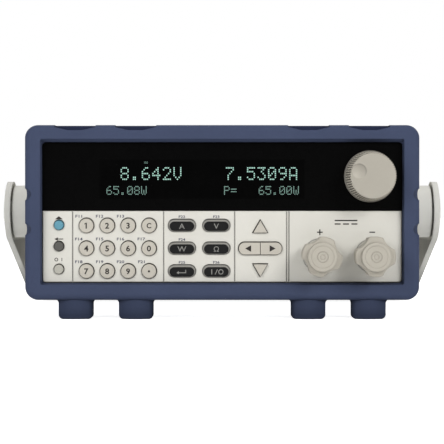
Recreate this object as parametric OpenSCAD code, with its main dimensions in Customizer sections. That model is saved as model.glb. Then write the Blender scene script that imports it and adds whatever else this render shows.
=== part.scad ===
// Bench DC electronic load in a half-rack case.
// X runs to the right, Y to the rear and Z up, with the origin under the middle of the whole object.

/* [Case] */
// Width of the sheet metal case
chassis_w = 214.5; // [210:0.5:250]
// Height of the sheet metal case
chassis_h = 88.2; // [87:0.2:110]
// Depth of the case, from the panel face to the rear panel
chassis_d = 354.6; // [330:0.2:420]
// Thickness of the case metal
sheet_t = 1.2; // [0.8:0.1:1.6]

/* [Bumpers] */
// Rubber outside the case walls
bumper_wall = 5.5; // [4.5:0.1:7]
// Extra rubber below the case
bumper_below = 0.85; // [0:0.05:2]
// Length of case that a bumper covers
bumper_sleeve = 30; // [24:1:34]
// Radius of the bumper's four long corners
bumper_corner_r = 7.5; // [6:0.5:10]
// Radius of the rolled outer edge
bumper_edge_r = 4; // [2.5:0.25:5]
// How far the front bumper stands ahead of the panel
panel_recess = 5; // [4:0.5:7]
// How far the rear bumper stands behind the rear panel
rear_proud = 12; // [11:0.5:18]
// How far the lip covers the case outline below
lip = 3.4; // [2.5:0.1:5]
// How far the lip covers the case outline at the sides
lip_side = 4; // [2.5:0.1:5]
// How far the lip covers the case outline above
lip_top = 4.2; // [2.5:0.1:5]
// Width of the bevel inside the lip above
lip_bevel = 2.4; // [1:0.1:3]
// Corner radius of the lip's opening
lip_corner_r = 2.4; // [1:0.1:2.4]
// Height of the feet
foot_h = 11; // [9:0.1:14]
// Width of a foot
foot_w = 19.8; // [16:0.2:22]
// Distance of the outer feet from the middle
foot_outer_x = 84; // [80:0.5:88]
// Distance of the inner feet from the middle
foot_inner_x = 49.4; // [46:0.2:54]
// Width of a stacking pocket
pocket_w = 23.5; // [22:0.5:26]
// Depth of a stacking pocket
pocket_depth = 3; // [2:0.1:4]

/* [Front panel] */
// Thickness of the moulded panel
panel_t = 2.5; // [2:0.1:3]
// Gap round the panel inside the bumper's lip
panel_gap = 0.15; // [0.1:0.05:0.4]
// Radius of the panel's rolled edge
panel_roll_r = 1; // [0.6:0.2:2.8]
// Share of the panel's height that the keypad takes
keypad_share = 0.511; // [0.5:0.001:0.53]
// Setback of the window behind the keypad face
window_setback = 0.8; // [0.4:0.1:1.5]
// Thickness of the window
window_t = 2; // [1.5:0.1:3]
// Width of a dividing groove
groove_w = 0.7; // [0.4:0.1:1.2]
// Depth of a dividing groove
groove_depth = 0.5; // [0.2:0.1:0.8]

/* [Keys] */
// Diameter of a number key as a share of the row pitch
key_share = 0.628; // [0.56:0.002:0.66]
// Diameter of a small key
small_key_d = 5.4; // [4.5:0.1:6]
// Width of an oval key
oval_key_w = 15.5; // [14:0.1:16]
// Height of an oval key
oval_key_h = 6.8; // [6:0.1:7.2]
// Width of the left and right key pair
arrow_pair_w = 24.6; // [23:0.1:25]
// Clearance round a key in its hole
key_clearance = 0.4; // [0.3:0.05:0.5]
// How far a key hangs below the middle of its hole
key_sag = 0.2; // [0:0.05:0.2]
// How far the keys stand ahead of the panel
key_proud = 1.8; // [1.4:0.1:2.5]
// Travel of a key
key_travel = 1; // [0.6:0.1:1.2]

/* [Knob] */
// Diameter of the knob's skirt
knob_d = 29.6; // [26:0.2:31]
// Diameter of the knob's face
knob_face_d = 26.4; // [22:0.2:27]
// Height of the knob above the window
knob_h = 22; // [18:0.5:24]
// Number of grip serrations
knob_teeth = 60; // [48:2:80]
// Depth of a serration
knob_tooth = 0.8; // [0.4:0.05:1]
// Diameter of the finger dimple
dimple_d = 8.8; // [6:0.2:9]

/* [Terminals] */
// Distance between the two terminals
terminal_pitch = 30; // [28:0.5:34]
// Diameter over the lobes of a cap
cap_d = 23.7; // [20:0.1:25]
// Diameter of a cap's round face
cap_face_d = 16.3; // [13:0.1:17]
// Reach of the caps ahead of the bumper
cap_reach = 22; // [19:0.5:26]
// Diameter of the threaded stud
stud_d = 6; // [5:0.5:8]
// Turn of the plus cap at rest
plus_turn = 17; // [0:1:45]

/* [Handle] */
// Distance of the hub axis behind the bumper's front
hub_back = 60; // [58:1:70]
// Diameter of a hub
hub_d = 31.4; // [26:0.2:34]
// Gap between the case side and a handle arm
hub_l = 19.15; // [17:0.05:24]
// Thickness of a handle arm
arm_t = 3.5; // [3:0.25:6]
// Diameter of an arm's round end
arm_end_d = 36; // [35:0.5:40]
// Distance from the hub axis to the grip
grip_reach = 130; // [116:1:140]
// Height of the grip
grip_h = 12; // [9:0.5:13]
// Width of the grip
grip_w = 24; // [18:1:30]

/* [Cooling] */
// Height left free above and below the fan
fan_room = 4.1; // [4:0.1:10]
// Depth of the fan frame
fan_d = 25; // [20:1:30]
// Number of fan blades
fan_blades = 7; // [5:1:9]
// Length of the heat sink
heatsink_l = 180; // [140:5:220]
// Number of heat sink fins
heatsink_fins = 12; // [8:1:14]

/* [Hidden] */
$fn = 64;
// Extra length of a cut beyond the face it opens
cut = 1;
// Fit between pieces that are pushed together
fit = 0.15;
// Free play between pieces that move
play = 0.3;

// Places along Y
total_d = cap_reach + panel_recess + chassis_d + rear_proud;
front_y = cap_reach - total_d / 2;
panel_y = front_y + panel_recess;
rear_y = panel_y + chassis_d;
bumper_d = panel_recess + bumper_sleeve;
flange_setback = 3;
flange_t = 2.5;
case_y = panel_y + flange_setback + flange_t;
window_y = panel_y + window_setback;
seat_y = window_y + window_t;
upper_back_y = seat_y + panel_t;
sub_panel_y = upper_back_y + 9;

// Places along Z
case_z0 = foot_h + bumper_wall + bumper_below;
case_z1 = case_z0 + chassis_h;
mid_z = case_z0 + chassis_h / 2;
bumper_w = chassis_w + 2 * bumper_wall;
bumper_h = chassis_h + 2 * bumper_wall + bumper_below;
bumper_mid_z = mid_z - bumper_below / 2;
open_z0 = case_z0 + lip;
open_z1 = case_z1 - lip_top;
open_w = chassis_w - 2 * lip_side;
keypad_h = keypad_share * (open_z1 - open_z0);
window_h = open_z1 - open_z0 - keypad_h;
split_z = open_z0 + keypad_h;

// Places across the panel, as shares of its width
function across(share) = (share - 0.5) * open_w;

// Places down the keypad and up the window, as shares of their heights
function down(share) = split_z - share * keypad_h;
function up(share) = split_z + share * window_h;

row_pitch = 0.317 * keypad_h;
row_z = [for (i = [0 : 2]) down(0.204) - i * row_pitch];
column_x = [for (i = [0 : 3]) across(0.1235 + i * 0.0579)];
oval_x = [across(0.3884), across(0.4838)];
arrow_x = across(0.6058);
small_x = across(0.047);
small_z = [row_z[0] + 0.3, row_z[1] + 1.2, row_z[2] + 1.1];
number_key_d = key_share * row_pitch;
arrow_side = 0.194 * keypad_h;
arrow_rise = arrow_side * sqrt(3) / 2;
arrow_pair_gap = 0.138 * keypad_h;
pair_gap = 0.15;
up_base_z = row_z[1] + arrow_pair_gap + oval_key_h / 2;
down_base_z = row_z[1] - arrow_pair_gap - oval_key_h / 2;
groove_x = [for (share = [0.0852, 0.3376, 0.5346, 0.6789, 0.6853]) across(share)];
NUMBER_ROWS = [["key_1", "key_2", "key_3", "key_escape"], ["key_4", "key_5", "key_6", "key_0"],
    ["key_7", "key_8", "key_9", "key_point"]];
OVAL_ROWS = [["mode_key_1", "mode_key_2"], ["mode_key_3", "mode_key_4"], ["enter_key", "input_key"]];

// Depths behind the keypad face
key_flange = 0.8;
key_flange_t = 0.8;
key_seat_gap = 0.1;
key_flange_back = panel_t + key_seat_gap + key_flange_t;
mat_t = 1;
mat_y = panel_y + key_flange_back + key_travel + play;
board_t = 1.6;
keypad_board_y = mat_y + mat_t;
stem_d = 3;
key_edge_r = 0.7;
boss_d = 5;
keypad_boss_z = [(row_z[0] + row_z[1]) / 2, (row_z[1] + row_z[2]) / 2];
keypad_boss_x = [groove_x[0], groove_x[1], groove_x[2]];

// Readout
vfd_x = across(0.4441);
vfd_z = up(0.459);
vfd_w = 124;
vfd_h = 28;
vfd_t = 7;
vfd_y = seat_y + 0.5;
display_board_y = vfd_y + vfd_t;
display_boss_x = [vfd_x - vfd_w / 2 - 6, vfd_x + vfd_w / 2 + 6];
display_boss_z = [vfd_z - vfd_h / 2 + 3, vfd_z + vfd_h / 2 - 3];

// Knob and encoder
knob_x = across(0.9095);
knob_z = up(0.5025);
knob_lift = 0.6;
knob_skirt = 3.4;
shaft_d = 6;
bushing_d = 9;
bushing_l = 5;
encoder_side = 13;
encoder_t = 7;
dimple_x = -7.9;
dimple_z = 2.6;

// Terminals
terminal_mid_x = across(0.8436);
terminal_x = [terminal_mid_x - terminal_pitch / 2, terminal_mid_x + terminal_pitch / 2];
terminal_z = down(0.6214);
collar_d = 19;
collar_proud = 3.5;
washer_d = 15;
washer_t = 1.5;
cap_back_y = panel_y - collar_proud - washer_t;
cap_front_y = front_y - cap_reach;
cap_l = cap_back_y - cap_front_y;
cap_lobe_l = 9;
cap_valley_r = 9.8;
cap_scallop_r = 10;
cap_wall = 3;
cap_ring_depth = 0.2;
base_plate_t = 4;

// Handle
hub_y = front_y + hub_back;
arm_x = chassis_w / 2 + hub_l;
grip_clear = 1.5;
grip_z = case_z0 - grip_clear - grip_h / 2;
grip_drop = mid_z - grip_z;
grip_y = hub_y + sqrt(grip_reach * grip_reach - grip_drop * grip_drop);
arm_angle = asin(grip_drop / grip_reach);
arm_tip_r = grip_h / 2 + 3;
pivot_d = 13;
spigot_d = 14;
handle_corner_r = 9;
boss_rise = 2.1;
pivot_tip_x = arm_x + arm_t;

// Rear panel and inner pieces
fan_in = 14;
fan_side = chassis_h - 2 * fan_room;
fan_x = chassis_w / 2 - sheet_t - fan_side / 2 - fan_in;
fan_y = rear_y - sheet_t - fan_d;
fan_bore = fan_side - 4;
fan_hub_d = 34;
fan_tip_gap = 1;
fan_motor_l = 6;
standoff_h = 8;
tray_z = case_z0 + sheet_t;
inner_w = chassis_w - 2 * sheet_t - 2 * fit;
screw_head_d = 5.6;
screw_head_t = 1.9;
screw_d = 3;
screw_l = 6;
flange_w = 12;
screw_x = chassis_w / 2 - sheet_t - flange_w / 2;
screw_zs = [tray_z + flange_w / 2, case_z1 - sheet_t - flange_w / 2];
screw_ys = [panel_y + 130, panel_y + 280];

// General shapes

// Extrude an X-Z outline towards the rear from y0
module front(y0, depth) {
    translate([0, y0 + depth, 0])
        rotate([90, 0, 0])
            linear_extrude(depth)
                children();
}

// Extrude a Y-Z outline to the right from x0
module side(x0, length) {
    translate([x0, 0, 0])
        rotate([90, 0, 90])
            linear_extrude(length)
                children();
}

// Round bar along Y
module rod(x, z, y0, length, d) {
    translate([x, y0, z])
        rotate([-90, 0, 0])
            cylinder(h = length, d = d);
}

// Round bar along X
module axle(x0, length, d) {
    translate([x0, hub_y, mid_z])
        rotate([0, 90, 0])
            cylinder(h = length, d = d);
}

// Revolve a radius-depth profile about an axis along Y
module turned(x, z, y0) {
    translate([x, y0, z])
        rotate([-90, 0, 0])
            rotate_extrude()
                children();
}

// Rectangle with round corners, centred
module rounded(w, h, r) {
    square([w - 2 * r, h], center = true);
    square([w, h - 2 * r], center = true);
    for (sx = [-1, 1], sz = [-1, 1])
        translate([sx * (w / 2 - r), sz * (h / 2 - r)])
            circle(r);
}

// Half profile of a block whose front edge is rolled
module rolled_half(r, depth, edge) {
    difference() {
        square([r, depth]);
        difference() {
            translate([r - edge, -cut])
                square([edge + cut, edge + cut]);
            translate([r - edge, edge])
                circle(edge);
        }
    }
}

// Block in X and Z with round corners and a rolled front edge, its front at y = 0
module rolled_block(w, h, depth, r, edge) {
    flat_x = w / 2 - r;
    flat_z = h / 2 - r;
    side(-flat_x, 2 * flat_x)
        for (s = [0, 1])
            mirror([0, s])
                mirror([1, -1])
                    rolled_half(h / 2, depth, edge);
    if (flat_z > 0)
        for (s = [0, 1])
            mirror([s, 0, 0])
                translate([flat_x, 0, -flat_z])
                    linear_extrude(2 * flat_z)
                        rolled_half(r, depth, edge);
    for (sx = [-1, 1], sz = flat_z > 0 ? [-1, 1] : [0])
        translate([sx * flat_x, 0, 0])
            turned(0, sz * flat_z, 0)
                rolled_half(r, depth, edge);
}

// Case

// Holes for the screws through both sides of the case
module side_screw_holes() {
    for (y = screw_ys)
        translate([-chassis_w / 2 - cut, y, screw_zs[0]])
            rotate([0, 90, 0])
                cylinder(h = chassis_w + 2 * cut, d = screw_d + 2 * fit);
}

module chassis_tray() {
    wall_h = chassis_h - 2 * sheet_t - 1;
    color("silver")
    difference() {
        union() {
            translate([-inner_w / 2, case_y, case_z0])
                cube([inner_w, rear_y - sheet_t - case_y, sheet_t]);
            translate([-inner_w / 2, sub_panel_y, case_z0])
                cube([inner_w, sheet_t, wall_h]);
            for (s = [0, 1])
                mirror([s, 0, 0]) {
                    translate([inner_w / 2 - flange_w, rear_y - 2 * sheet_t, case_z0])
                        cube([flange_w, sheet_t, sheet_t + flange_w]);
                    translate([inner_w / 2 - sheet_t, sub_panel_y, case_z0])
                        cube([sheet_t, rear_y - sheet_t - sub_panel_y, sheet_t + flange_w]);
                }
            for (x = board_post_x, y = board_post_y)
                translate([x, y, case_z0])
                    cylinder(h = sheet_t + standoff_h, d = boss_d);
        }
        for (x = terminal_x)
            rod(x, terminal_z, sub_panel_y - cut, sheet_t + 2 * cut, 2 * stud_d);
        for (s = [-1, 1])
            rod(s * screw_x, screw_zs[0], rear_y - 2 * sheet_t - cut, sheet_t + 2 * cut, screw_d + 2 * fit);
        side_screw_holes();
        translate([vfd_x - vfd_w / 4, sub_panel_y - cut, vfd_z - vfd_h / 4])
            cube([vfd_w / 2, sheet_t + 2 * cut, vfd_h / 2]);
    }
}

// Row of upright ventilation slots in a side wall
module side_vents() {
    slot_w = 3;
    slot_h = 16;
    slot_pitch = 7;
    for (row = [-1, 1], i = [0 : 13])
        translate([panel_y + 165 + i * slot_pitch, mid_z + row * (slot_h / 2 + 4)])
            rounded(slot_w, slot_h, slot_w / 2 - 0.1);
}

module top_cover() {
    inner_z1 = case_z1 - sheet_t;
    color("gainsboro")
    difference() {
        translate([-chassis_w / 2, case_y, case_z0])
            cube([chassis_w, rear_y - case_y, chassis_h]);
        difference() {
            translate([sheet_t - chassis_w / 2, case_y - cut, case_z0 - cut])
                cube([chassis_w - 2 * sheet_t, rear_y - case_y + 2 * cut, inner_z1 - case_z0 + cut]);
            for (s = [0, 1])
                mirror([s, 0, 0])
                    translate([inner_w / 2 - flange_w, rear_y - 2 * sheet_t, inner_z1 - flange_w])
                        cube([2 * flange_w, sheet_t, 2 * flange_w]);
        }
        side(-chassis_w / 2 - cut, chassis_w + 2 * cut)
            side_vents();
        axle(-chassis_w / 2 - cut, chassis_w + 2 * cut, spigot_d + 2 * fit);
        for (s = [-1, 1])
            rod(s * screw_x, screw_zs[1], rear_y - 2 * sheet_t - cut, sheet_t + 2 * cut, screw_d + 2 * fit);
        side_screw_holes();
    }
}

// Openings of the fan grille: level slots cut to a circle
module fan_slots() {
    slot_h = 4;
    slot_pitch = 6.6;
    slot_r = fan_bore / 2 - 1;
    for (i = [-5 : 5])
        translate([0, i * slot_pitch])
            rounded(2 * sqrt(slot_r * slot_r - pow(i * slot_pitch, 2)), slot_h, slot_h / 2 - 0.1);
}

module rear_panel() {
    color("gainsboro")
    difference() {
        translate([-inner_w / 2, rear_y - sheet_t, case_z0 + sheet_t + fit])
            cube([inner_w, sheet_t, chassis_h - 2 * sheet_t - 2 * fit]);
        front(rear_y - sheet_t - cut, sheet_t + 2 * cut) {
            translate([fan_x, mid_z])
                fan_slots();
            for (p = PORTS)
                translate([p[0], p[1]])
                    square([p[2] + 2 * fit, p[3] + 2 * fit], center = true);
        }
        rod(bnc_x, bnc_z, rear_y - sheet_t - cut, sheet_t + 2 * cut, bnc_thread_d + 2 * fit);
        for (s = [-1, 1], z = screw_zs)
            rod(s * screw_x, z, rear_y - sheet_t - cut, sheet_t + 2 * cut, screw_d + 2 * fit);
    }
}

// Bumpers

// Outline of a foot from the front, with its foot on zero and flared into the bumper
module foot_face() {
    foot_r = 2.7;
    flare_r = 2;
    root = bumper_edge_r;
    difference() {
        translate([-foot_w / 2 - flare_r, 0])
            square([foot_w + 2 * flare_r, foot_h + root]);
        for (s = [0, 1])
            mirror([s, 0]) {
                translate([foot_w / 2, -cut])
                    square([flare_r + cut, foot_h - flare_r + cut]);
                translate([foot_w / 2 + flare_r, foot_h - flare_r])
                    circle(flare_r);
                difference() {
                    translate([foot_w / 2 - foot_r, -cut])
                        square([foot_r + cut, foot_r + cut]);
                    translate([foot_w / 2 - foot_r, foot_r])
                        circle(foot_r);
                }
            }
    }
}

// Plan of a foot or pocket: a round front and a straight back, its front at y = 0
module bow(w, length, bow_r) {
    intersection() {
        translate([0, bow_r])
            circle(bow_r);
        translate([-w / 2, -cut])
            square([w, length + cut]);
    }
}

module feet() {
    foot_front = 3;
    foot_l = 9;
    foot_bow_r = 17;
    for (s = [-1, 1], x = [foot_inner_x, foot_outer_x])
        translate([s * x, foot_front, 0])
            intersection() {
                front(-cut, foot_l + 2 * cut)
                    foot_face();
                translate([0, 0, -cut])
                    linear_extrude(foot_h + bumper_edge_r + 2 * cut)
                        bow(foot_w + 2 * foot_front + 2, foot_l, foot_bow_r);
            }
}

module stacking_pockets() {
    pocket_l = 12.5;
    pocket_bow_r = 60;
    for (s = [-1, 1], x = [foot_inner_x, foot_outer_x])
        translate([s * x, 0, case_z1 + bumper_wall - pocket_depth])
            linear_extrude(pocket_depth + cut)
                bow(pocket_w, pocket_l, pocket_bow_r);
}

// Finger scallops in the two sides
module side_scallops() {
    scallop_r = 3.3;
    scallop_pitch = 20;
    scallop_depth = 0.7;
    scallop_corner_r = 0.4;
    scallop_lean = 27;
    scallop_reach = 4;
    for (s = [0, 1], z = [-1, 1])
        mirror([s, 0, 0])
            translate([bumper_w / 2, 0, mid_z + z * scallop_pitch / 2]) {
                front(-cut, rear_proud + bumper_sleeve + 2 * cut)
                    rounded(2 * scallop_depth, 2 * scallop_r, scallop_corner_r);
                translate([-scallop_reach, 0, 0])
                    rotate([0, 0, -scallop_lean])
                        translate([scallop_r, -2 * scallop_r, 0])
                            rotate([-90, 0, 0])
                                cylinder(h = 6 * scallop_r, r = scallop_r);
            }
}

// Opening of the lip, widening to the front, most of all above
module lip_opening(lip_t) {
    bevel_y = 2.6;
    bevel_side = 0.7;
    bevel_below = 1.4;
    front_corner_r = 2.6;
    open_h = open_z1 - open_z0;
    translate([0, 0, (open_z0 + open_z1) / 2]) {
        front(-cut, lip_t + 2 * cut)
            rounded(open_w, open_h, lip_corner_r);
        intersection() {
            translate([0, 0, -bumper_h / 2])
                linear_extrude(bumper_h)
                    bevel_cut(open_w, bevel_side, bevel_side, bevel_y);
            side(-bumper_w / 2, bumper_w)
                mirror([1, -1])
                    bevel_cut(open_h, bevel_below, lip_bevel, bevel_y);
            front(-cut, bevel_y + 2 * cut)
                translate([0, (lip_bevel - bevel_below) / 2])
                    rounded(open_w + 2 * bevel_side, open_h + lip_bevel + bevel_below, front_corner_r);
        }
    }
}

// Trapezoid that narrows towards the rear to the given width, by its own amount at each end
module bevel_cut(w, low, high, bevel_y) {
    polygon([[-w / 2 - low, -cut], [w / 2 + high, -cut], [w / 2, bevel_y], [-w / 2, bevel_y]]);
}

// Bumper with its outer face at y = 0 and its lip over the edge of the case
module bumper(lip_t, length) {
    difference() {
        union() {
            translate([0, 0, bumper_mid_z])
                rolled_block(bumper_w, bumper_h, length, bumper_corner_r, bumper_edge_r);
            feet();
        }
        translate([-chassis_w / 2 - fit, lip_t, case_z0 - fit])
            cube([chassis_w + 2 * fit, length, chassis_h + 2 * fit]);
        lip_opening(lip_t);
        stacking_pockets();
        side_scallops();
    }
}

module front_bumper() {
    color("slategray")
    translate([0, front_y, 0])
        bumper(panel_recess + flange_setback, bumper_d);
}

module rear_bumper() {
    color("slategray")
    translate([0, rear_y + rear_proud, 0])
        mirror([0, 1, 0])
            bumper(rear_proud, rear_proud + bumper_sleeve);
}

// Front panel

// Every key as its centre, its kind and its node
KEYS = concat(
    [[small_x, small_z[0], "small", "shift_key"], [small_x, small_z[1], "small", "local_key"],
        [small_x, small_z[2], "small", "power_button"]],
    [for (r = [0 : 2], c = [0 : 3]) [column_x[c], row_z[r], "number", NUMBER_ROWS[r][c]]],
    [for (r = [0 : 2], c = [0 : 1]) [oval_x[c], row_z[r], "oval", OVAL_ROWS[r][c]]],
    [[arrow_x, up_base_z, "up", "up_key"], [arrow_x, down_base_z, "down", "down_key"],
        [arrow_x, row_z[1], "left", "left_key"], [arrow_x, row_z[1], "right", "right_key"]]);

// Outline of a key, grown on every side
module key_outline(kind, grow) {
    if (kind == "small")
        circle(d = small_key_d + 2 * grow);
    if (kind == "number")
        circle(d = number_key_d + 2 * grow);
    if (kind == "oval")
        rounded(oval_key_w + 2 * grow, oval_key_h + 2 * grow, oval_key_h / 2 + grow - 0.01);
    if (kind == "up")
        arrow_outline(grow);
    if (kind == "down")
        mirror([0, 1])
            arrow_outline(grow);
    if (kind == "left")
        arrow_half(grow);
    if (kind == "right")
        mirror([1, 0])
            arrow_half(grow);
}

// Triangle pointing up, its base on zero
module arrow_outline(grow) {
    in_r = arrow_side / (2 * sqrt(3)) + grow;
    translate([0, arrow_rise / 3])
        polygon([for (a = [90, 210, 330]) 2 * in_r * [cos(a), sin(a)]]);
}

// Left half of the oval that the left and right keys share
module arrow_half(grow) {
    intersection() {
        rounded(arrow_pair_w + 2 * grow, oval_key_h + 2 * grow, oval_key_h / 2 + grow - 0.01);
        translate([-arrow_pair_w, -oval_key_h])
            square([arrow_pair_w - pair_gap, 2 * oval_key_h]);
    }
}

// Offset of a key's hole from the key, which hangs low and towards the middle of the panel
function hole_shift(kind) = [
    kind == "small" || kind == "number" ? key_sag / 2 :
    kind == "oval" ? 0 : -key_sag / 2,
    key_sag];

// Centre of the stem under a key
function stem_place(kind) =
    kind == "up" ? [0, arrow_rise / 3] :
    kind == "down" ? [0, -arrow_rise / 3] :
    kind == "left" ? [-arrow_pair_w / 4, 0] :
    kind == "right" ? [arrow_pair_w / 4, 0] : [0, 0];

// Outline of the panel and window in the lip's opening
module panel_outline() {
    translate([0, (open_z0 + open_z1) / 2])
        rounded(open_w - 2 * panel_gap, open_z1 - open_z0 - 2 * panel_gap, lip_corner_r - panel_gap);
}

module front_panel() {
    lower_w = open_w - 2 * panel_gap;
    lower_z0 = open_z0 + panel_gap;
    lower_h = split_z - lower_z0;
    lower_d = flange_setback + flange_t;
    upper_z1 = open_z1 - panel_gap;
    inner_margin = 1;
    bridge = 2;
    top_edge_r = 0.6;
    pair_hole_z = row_z[1] + key_sag - key_clearance - oval_key_h / 2;
    sub_boss_x = chassis_w / 2 - sheet_t - boss_d;
    color("ivory")
    difference() {
        union() {
            intersection() {
                translate([0, panel_y, lower_z0])
                    linear_extrude(lower_h)
                        for (s = [0, 1])
                            mirror([s, 0])
                                rolled_half(lower_w / 2, lower_d, panel_roll_r);
                side(-lower_w / 2, lower_w)
                    intersection() {
                        translate([panel_y, split_z])
                            rotate(-90)
                                rolled_half(lower_h, lower_d, panel_roll_r);
                        translate([panel_y, lower_z0])
                            mirror([1, -1])
                                rolled_half(lower_h, lower_d, top_edge_r);
                    }
                front(panel_y - cut, lower_d + 2 * cut)
                    panel_outline();
            }
            front(seat_y, panel_t)
                intersection() {
                    translate([-open_w / 2, split_z - bridge])
                        square([open_w, window_h + bridge]);
                    panel_outline();
                }
            front(panel_y + flange_setback, flange_t)
                difference() {
                    translate([-chassis_w / 2, case_z0])
                        square([chassis_w, chassis_h]);
                    translate([-lower_w / 2 + inner_margin, lower_z0 + inner_margin])
                        square([lower_w - 2 * inner_margin, upper_z1 - lower_z0 - 2 * inner_margin]);
                }
            for (x = keypad_boss_x, z = keypad_boss_z)
                rod(x, z, panel_y + panel_t - cut, keypad_board_y - panel_y - panel_t + cut, boss_d);
            for (x = display_boss_x, z = display_boss_z)
                rod(x, z, upper_back_y - cut, display_board_y - upper_back_y + cut, boss_d);
            for (s = [-1, 1], z = [case_z0 + sheet_t + boss_d, case_z1 - sheet_t - boss_d])
                rod(s * sub_boss_x, z, case_y - cut, sub_panel_y - case_y + cut, boss_d);
        }
        difference() {
            front(panel_y + panel_t, lower_d)
                translate([-lower_w / 2 + inner_margin, lower_z0 + inner_margin])
                    square([lower_w - 2 * inner_margin, lower_h - inner_margin - bridge]);
            for (x = keypad_boss_x, z = keypad_boss_z)
                rod(x, z, panel_y, keypad_board_y - panel_y, boss_d);
        }
        front(panel_y - cut, panel_t + 2 * cut) {
            for (k = KEYS)
                translate([k[0], k[1]] + hole_shift(k[2]))
                    key_outline(k[2], key_clearance);
            for (x = terminal_x)
                translate([x, terminal_z])
                    circle(d = collar_d + 2 * fit);
        }
        translate([arrow_x - 2 * pair_gap, panel_y - cut, pair_hole_z])
            cube([4 * pair_gap, panel_t + 2 * cut, oval_key_h + 2 * key_clearance]);
        front(panel_y - cut, groove_depth + cut)
            for (x = groove_x)
                translate([x - groove_w / 2, lower_z0 - cut])
                    square([groove_w, lower_h + 2 * cut]);
        front(seat_y - cut, panel_t + 2 * cut)
            translate([vfd_x, vfd_z])
                square([vfd_w + 2 * fit, vfd_h + 2 * fit], center = true);
        rod(knob_x, knob_z, seat_y - cut, panel_t + 2 * cut, bushing_d + 2 * fit);
    }
}

module display_window() {
    color("black")
    difference() {
        front(window_y, window_t)
            intersection() {
                translate([-open_w / 2, split_z + fit])
                    square([open_w, window_h]);
                panel_outline();
            }
        rod(knob_x, knob_z, window_y - cut, window_t + 2 * cut, bushing_d + 2 * fit);
    }
}

module vfd_tube() {
    color("darkslategray")
    front(vfd_y, vfd_t)
        translate([vfd_x, vfd_z])
            square([vfd_w, vfd_h], center = true);
}

module display_board() {
    board_margin = 9;
    board_h = vfd_h + 6;
    color("darkgreen")
    front(display_board_y, board_t)
        translate([vfd_x, vfd_z])
            square([vfd_w + 2 * board_margin, board_h], center = true);
}

// Rectangle behind the key field
module keypad_area() {
    area_x0 = small_x - 5;
    area_x1 = arrow_x + arrow_pair_w / 2 + 1;
    area_z0 = open_z0 + panel_gap + panel_t;
    translate([area_x0, area_z0])
        square([area_x1 - area_x0, split_z - 2 - play - area_z0]);
}

module key_mat() {
    color("dimgray")
    front(mat_y, mat_t)
        difference() {
            keypad_area();
            for (k = KEYS)
                translate([k[0], k[1]] + stem_place(k[2]))
                    circle(d = stem_d + 2 * play);
            for (x = keypad_boss_x, z = keypad_boss_z)
                translate([x, z])
                    circle(d = boss_d + 2 * fit);
        }
}

module keypad_board() {
    color("darkgreen")
    front(keypad_board_y, board_t)
        keypad_area();
}

// Keys

// Flange and stem that every key has behind the panel
module key_root(kind) {
    stem = stem_place(kind);
    front(panel_t + key_seat_gap, key_flange_t)
        translate(hole_shift(kind))
            key_outline(kind, key_flange);
    rod(stem[0], stem[1], key_flange_back, key_travel, stem_d);
}

// Round cap with a rolled edge
module round_cap(d) {
    turned(0, 0, -key_proud)
        rolled_half(d / 2, key_proud + panel_t + key_seat_gap, key_edge_r);
}

// Oval cap: a raised bar on a wider base
module oval_cap() {
    bar_w = oval_key_w - 1.4;
    bar_h = oval_key_h - 1.4;
    bar_drop = 0.3;
    base_proud = 0.5;
    front(-base_proud, base_proud + panel_t + key_seat_gap)
        key_outline("oval", 0);
    translate([0, -key_proud, -bar_drop])
        rolled_block(bar_w, bar_h, key_proud, bar_h / 2, key_edge_r);
}

module key(name) {
    k = [for (entry = KEYS) if (entry[3] == name) entry][0];
    kind = k[2];
    translate([k[0], panel_y, k[1]]) {
        key_root(kind);
        if (kind == "small")
            round_cap(small_key_d);
        else if (kind == "number")
            round_cap(number_key_d);
        else if (kind == "oval")
            oval_cap();
        else
            front(-key_proud, key_proud + panel_t + key_seat_gap)
                key_outline(kind, 0);
    }
}

// Knob and encoder

module encoder() {
    color("gray")
    difference() {
        union() {
            front(upper_back_y, encoder_t)
                translate([knob_x, knob_z])
                    square([encoder_side, encoder_side], center = true);
            rod(knob_x, knob_z, window_y - bushing_l, upper_back_y - window_y + bushing_l, bushing_d);
        }
        rod(knob_x, knob_z, window_y - bushing_l - cut, bushing_l + encoder_t + cut, shaft_d + 2 * fit);
    }
}

module encoder_shaft() {
    shaft_back = window_y + encoder_t - play;
    shaft_front = window_y - knob_h + 2 * cap_wall;
    color("silver")
    rod(knob_x, knob_z, shaft_front, shaft_back - shaft_front, shaft_d);
}

// Toothed outline of the knob's grip
module serrated(r) {
    polygon([for (i = [0 : 2 * knob_teeth - 1])
        (i % 2 == 0 ? r : r - knob_tooth) * [cos(180 * i / knob_teeth), sin(180 * i / knob_teeth)]]);
}

module knob() {
    skirt_y = window_y - knob_lift;
    grip_y1 = skirt_y - knob_skirt;
    face_y = window_y - knob_h;
    grip_sink = 1;
    grip_l = grip_y1 + grip_sink - face_y;
    grip_r = knob_d / 2 - 0.6;
    dimple_depth = 1.2;
    dimple_r = (pow(dimple_d / 2, 2) + pow(dimple_depth, 2)) / (2 * dimple_depth);
    color("tan")
    difference() {
        union() {
            translate([0, grip_y1, 0])
                turned(knob_x, knob_z, 0)
                    rolled_half(knob_d / 2, knob_skirt, key_edge_r);
            translate([knob_x, grip_y1 + grip_sink, knob_z])
                rotate([90, 0, 0])
                    linear_extrude(grip_l, scale = knob_face_d / 2 / grip_r)
                        serrated(grip_r);
        }
        rod(knob_x, knob_z, window_y - bushing_l - play, bushing_l + cut, bushing_d + 2 * play);
        rod(knob_x, knob_z, window_y - knob_h + 2 * cap_wall, knob_h, shaft_d + fit);
        translate([knob_x + dimple_x, face_y + dimple_depth - dimple_r, knob_z + dimple_z])
            sphere(dimple_r);
    }
}

// Terminals

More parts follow.
